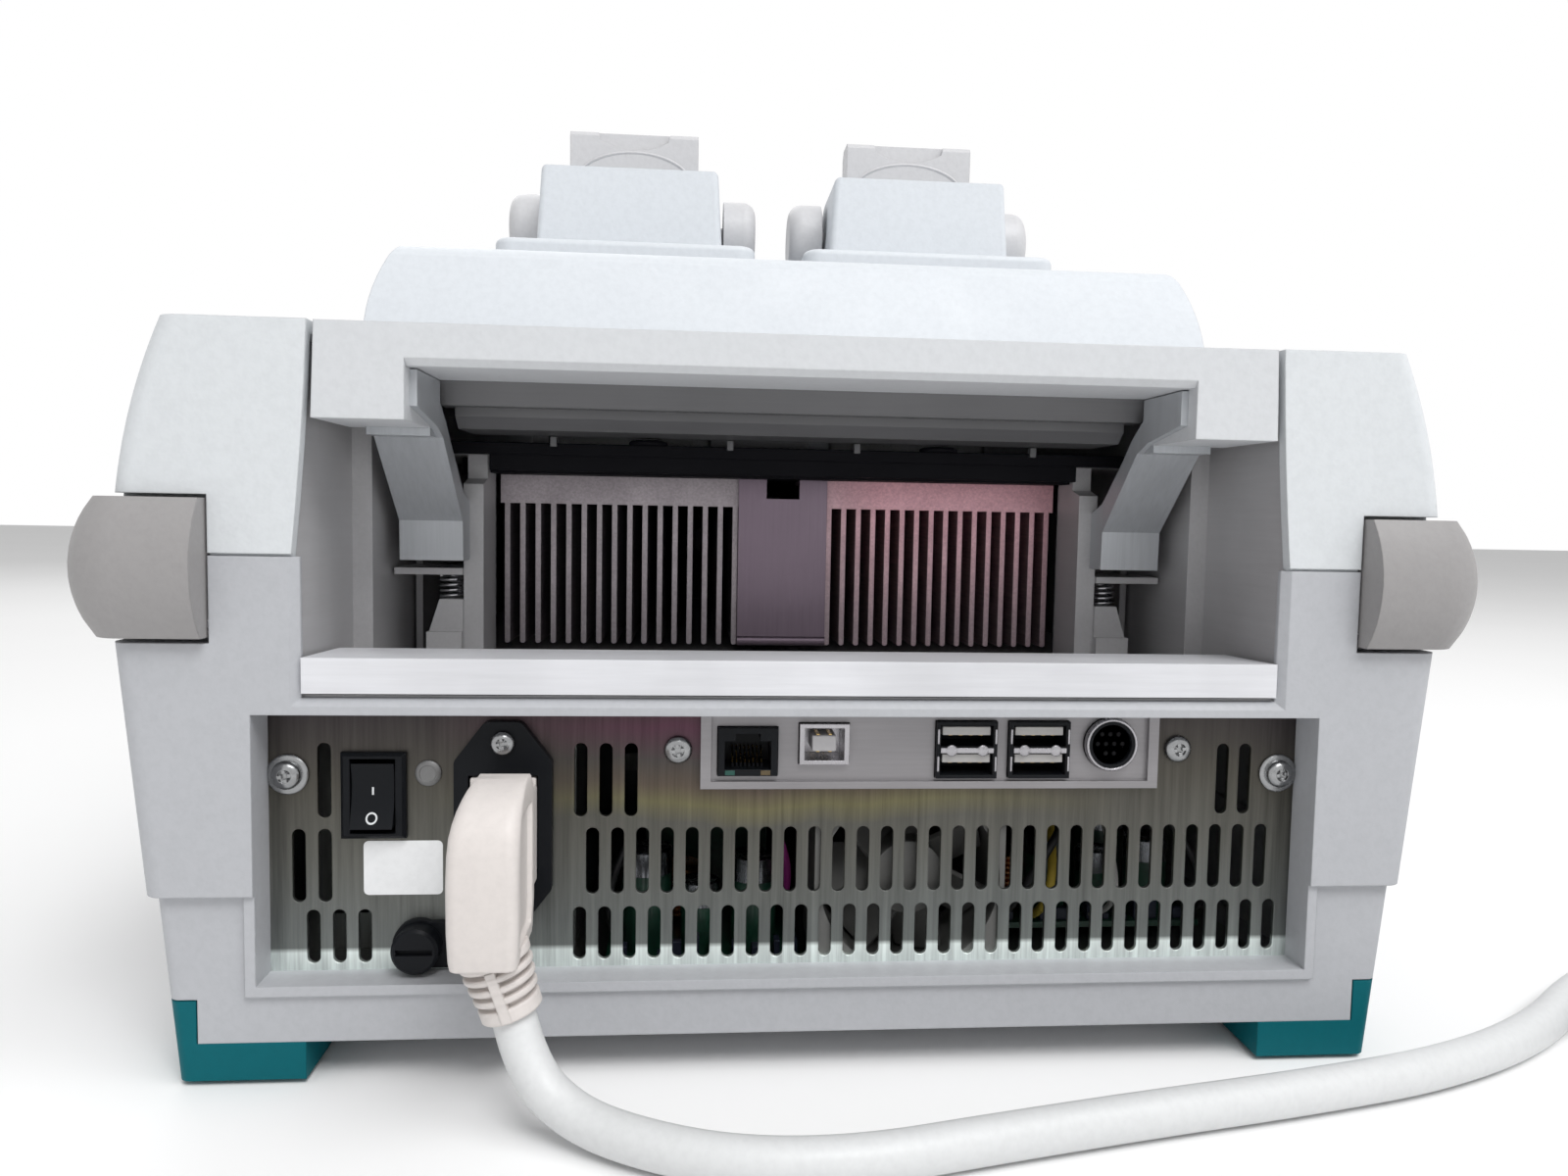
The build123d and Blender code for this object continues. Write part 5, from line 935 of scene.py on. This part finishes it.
piece("capacitor_cans", "can", "instrument", build_cans)
piece("board_small_parts", "sleeve", "instrument", build_board_parts, 40, 0.15)
piece("coil_windings", "copper", "instrument", build_windings)
piece("tape_wrap", "yellow", "instrument",
      lambda bm: add_box(bm, (3.9, 80.0, 30.0), (40.1, 95.0, 48.7)), 40, 0.4)

# Wires behind the slots
WIRES = (
    # look, radius, and points as X, depth and height
    ("wire_black", 1.1, [(-58, 40, 22), (-57, 24, 30), (-62, 18, 44), (-72, 22, 56), (-80, 40, 62)]),
    ("wire_black", 1.0, [(-116, 44, 23), (-113, 20, 34), (-104, 17, 50), (-96, 30, 60)]),
    ("wire_violet", 1.0, [(2, 34, 30), (-0.5, 22, 44), (4, 19, 53), (10, 32, 62)]),
    ("yellow", 1.2, [(-70, 44, 22), (-69, 26, 31), (-70, 24, 40), (-74, 44, 50)]),
    ("wire_black", 0.9, [(46, 30, 24), (50, 18, 36), (44, 17, 50), (36, 34, 60)]),
    ("tongue", 0.8, [(-87, 44, 22), (-88, 20, 32), (-84, 18, 44), (-86, 40, 56)]),
)
for number, (look, radius, points) in enumerate(WIRES, 1):
    wire = add_tube(f"inner_wire_{number}", look, points, radius, order=4, sides=4)
    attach(wire, "instrument")


# Black seal skirt between the heat sinks and the deck, with its round bosses and clips
APRON_HALF, FLANGE_HALF = 84.0, 108.0
FLANGE_TOP = 152.6
BOSS_PLACES = (-43.0, 40.0)
BOSS_PROFILE = [(5.4, 0), (5.4, 0.9), (4.6, 1.3), (2.2, 1.3), (2.0, 0.7)]
CLIP_PLACES = (-19.0, 17.0, 66.0, -70.0)


def build_skirt(bm):
    add_box(bm, (-APRON_HALF, 61.9, 144.9), (APRON_HALF, 59.6, 150.2))
    add_box(bm, (-FLANGE_HALF, 61.95, 149.3), (FLANGE_HALF, 57.8, FLANGE_TOP))
    for x in BOSS_PLACES:
        add_lathe(bm, (x, 60.0, FLANGE_TOP), BOSS_PROFILE, sides=32, axis="Z")


def build_clips(bm):
    for x in CLIP_PLACES:
        add_box(bm, (x - 0.9, 59.2, 151.6), (x + 0.9, 56.6, 154.4))


piece("seal_skirt", "tray", "module", build_skirt, 40, 0.4)
piece("seal_clips", "trim", "module", build_clips, 40, 0.2)

# Lever grips: raised rim round the thumb scoop on the rear face
GRIP_X = 50.2
GRIP_FACE = 154.75
GRIP_MIDDLE, GRIP_REACH, GRIP_RISE = 252.8, 20.5, 10.8
GRIP_STEPS, GRIP_START, GRIP_SWEEP = 18, 0.12, 0.76  # start and sweep in half turns
GRIP_SECTION = ((GRIP_FACE, -0.75), (154.2, 0.0), (GRIP_FACE, 0.75), (155.4, 0.0))


def build_grip(bm, centre):
    rows = []
    for k in range(GRIP_STEPS + 1):
        angle = pi * (GRIP_START + GRIP_SWEEP * k / GRIP_STEPS)
        x = centre + GRIP_REACH * cos(angle)
        level = GRIP_MIDDLE + GRIP_RISE * sin(angle)
        rows.append([bm.verts.new(at(x, depth, level + lift)) for depth, lift in GRIP_SECTION])
    add_skin(bm, rows)


for centre, side in ((GRIP_X, "right"), (-GRIP_X, "left")):
    piece(f"lever_grip_lips_{side}", "lever", f"lid_lever_{side}",
          lambda bm, centre=centre: build_grip(bm, centre), 50, 0.12)

# Bare metal blades and pin of the mains plug, which points to +X
PLUG_MIDDLE, BLADE_OFFSET, BLADE_HALF = 90.0, 6.35, 0.8


def build_blades(bm):
    for across in (PLUG_MIDDLE - BLADE_OFFSET, PLUG_MIDDLE + BLADE_OFFSET):
        add_box(bm, (-171.9, BLADE_HALF - across, 12.95), (-155.95, -BLADE_HALF - across, 19.35))
    add_rod(bm, (-163.4, -PLUG_MIDDLE, 5.5), 2.45, 19.0, "X")


piece("mains_plug_blades", "steel", "instrument", build_blades, 40, 0.1)
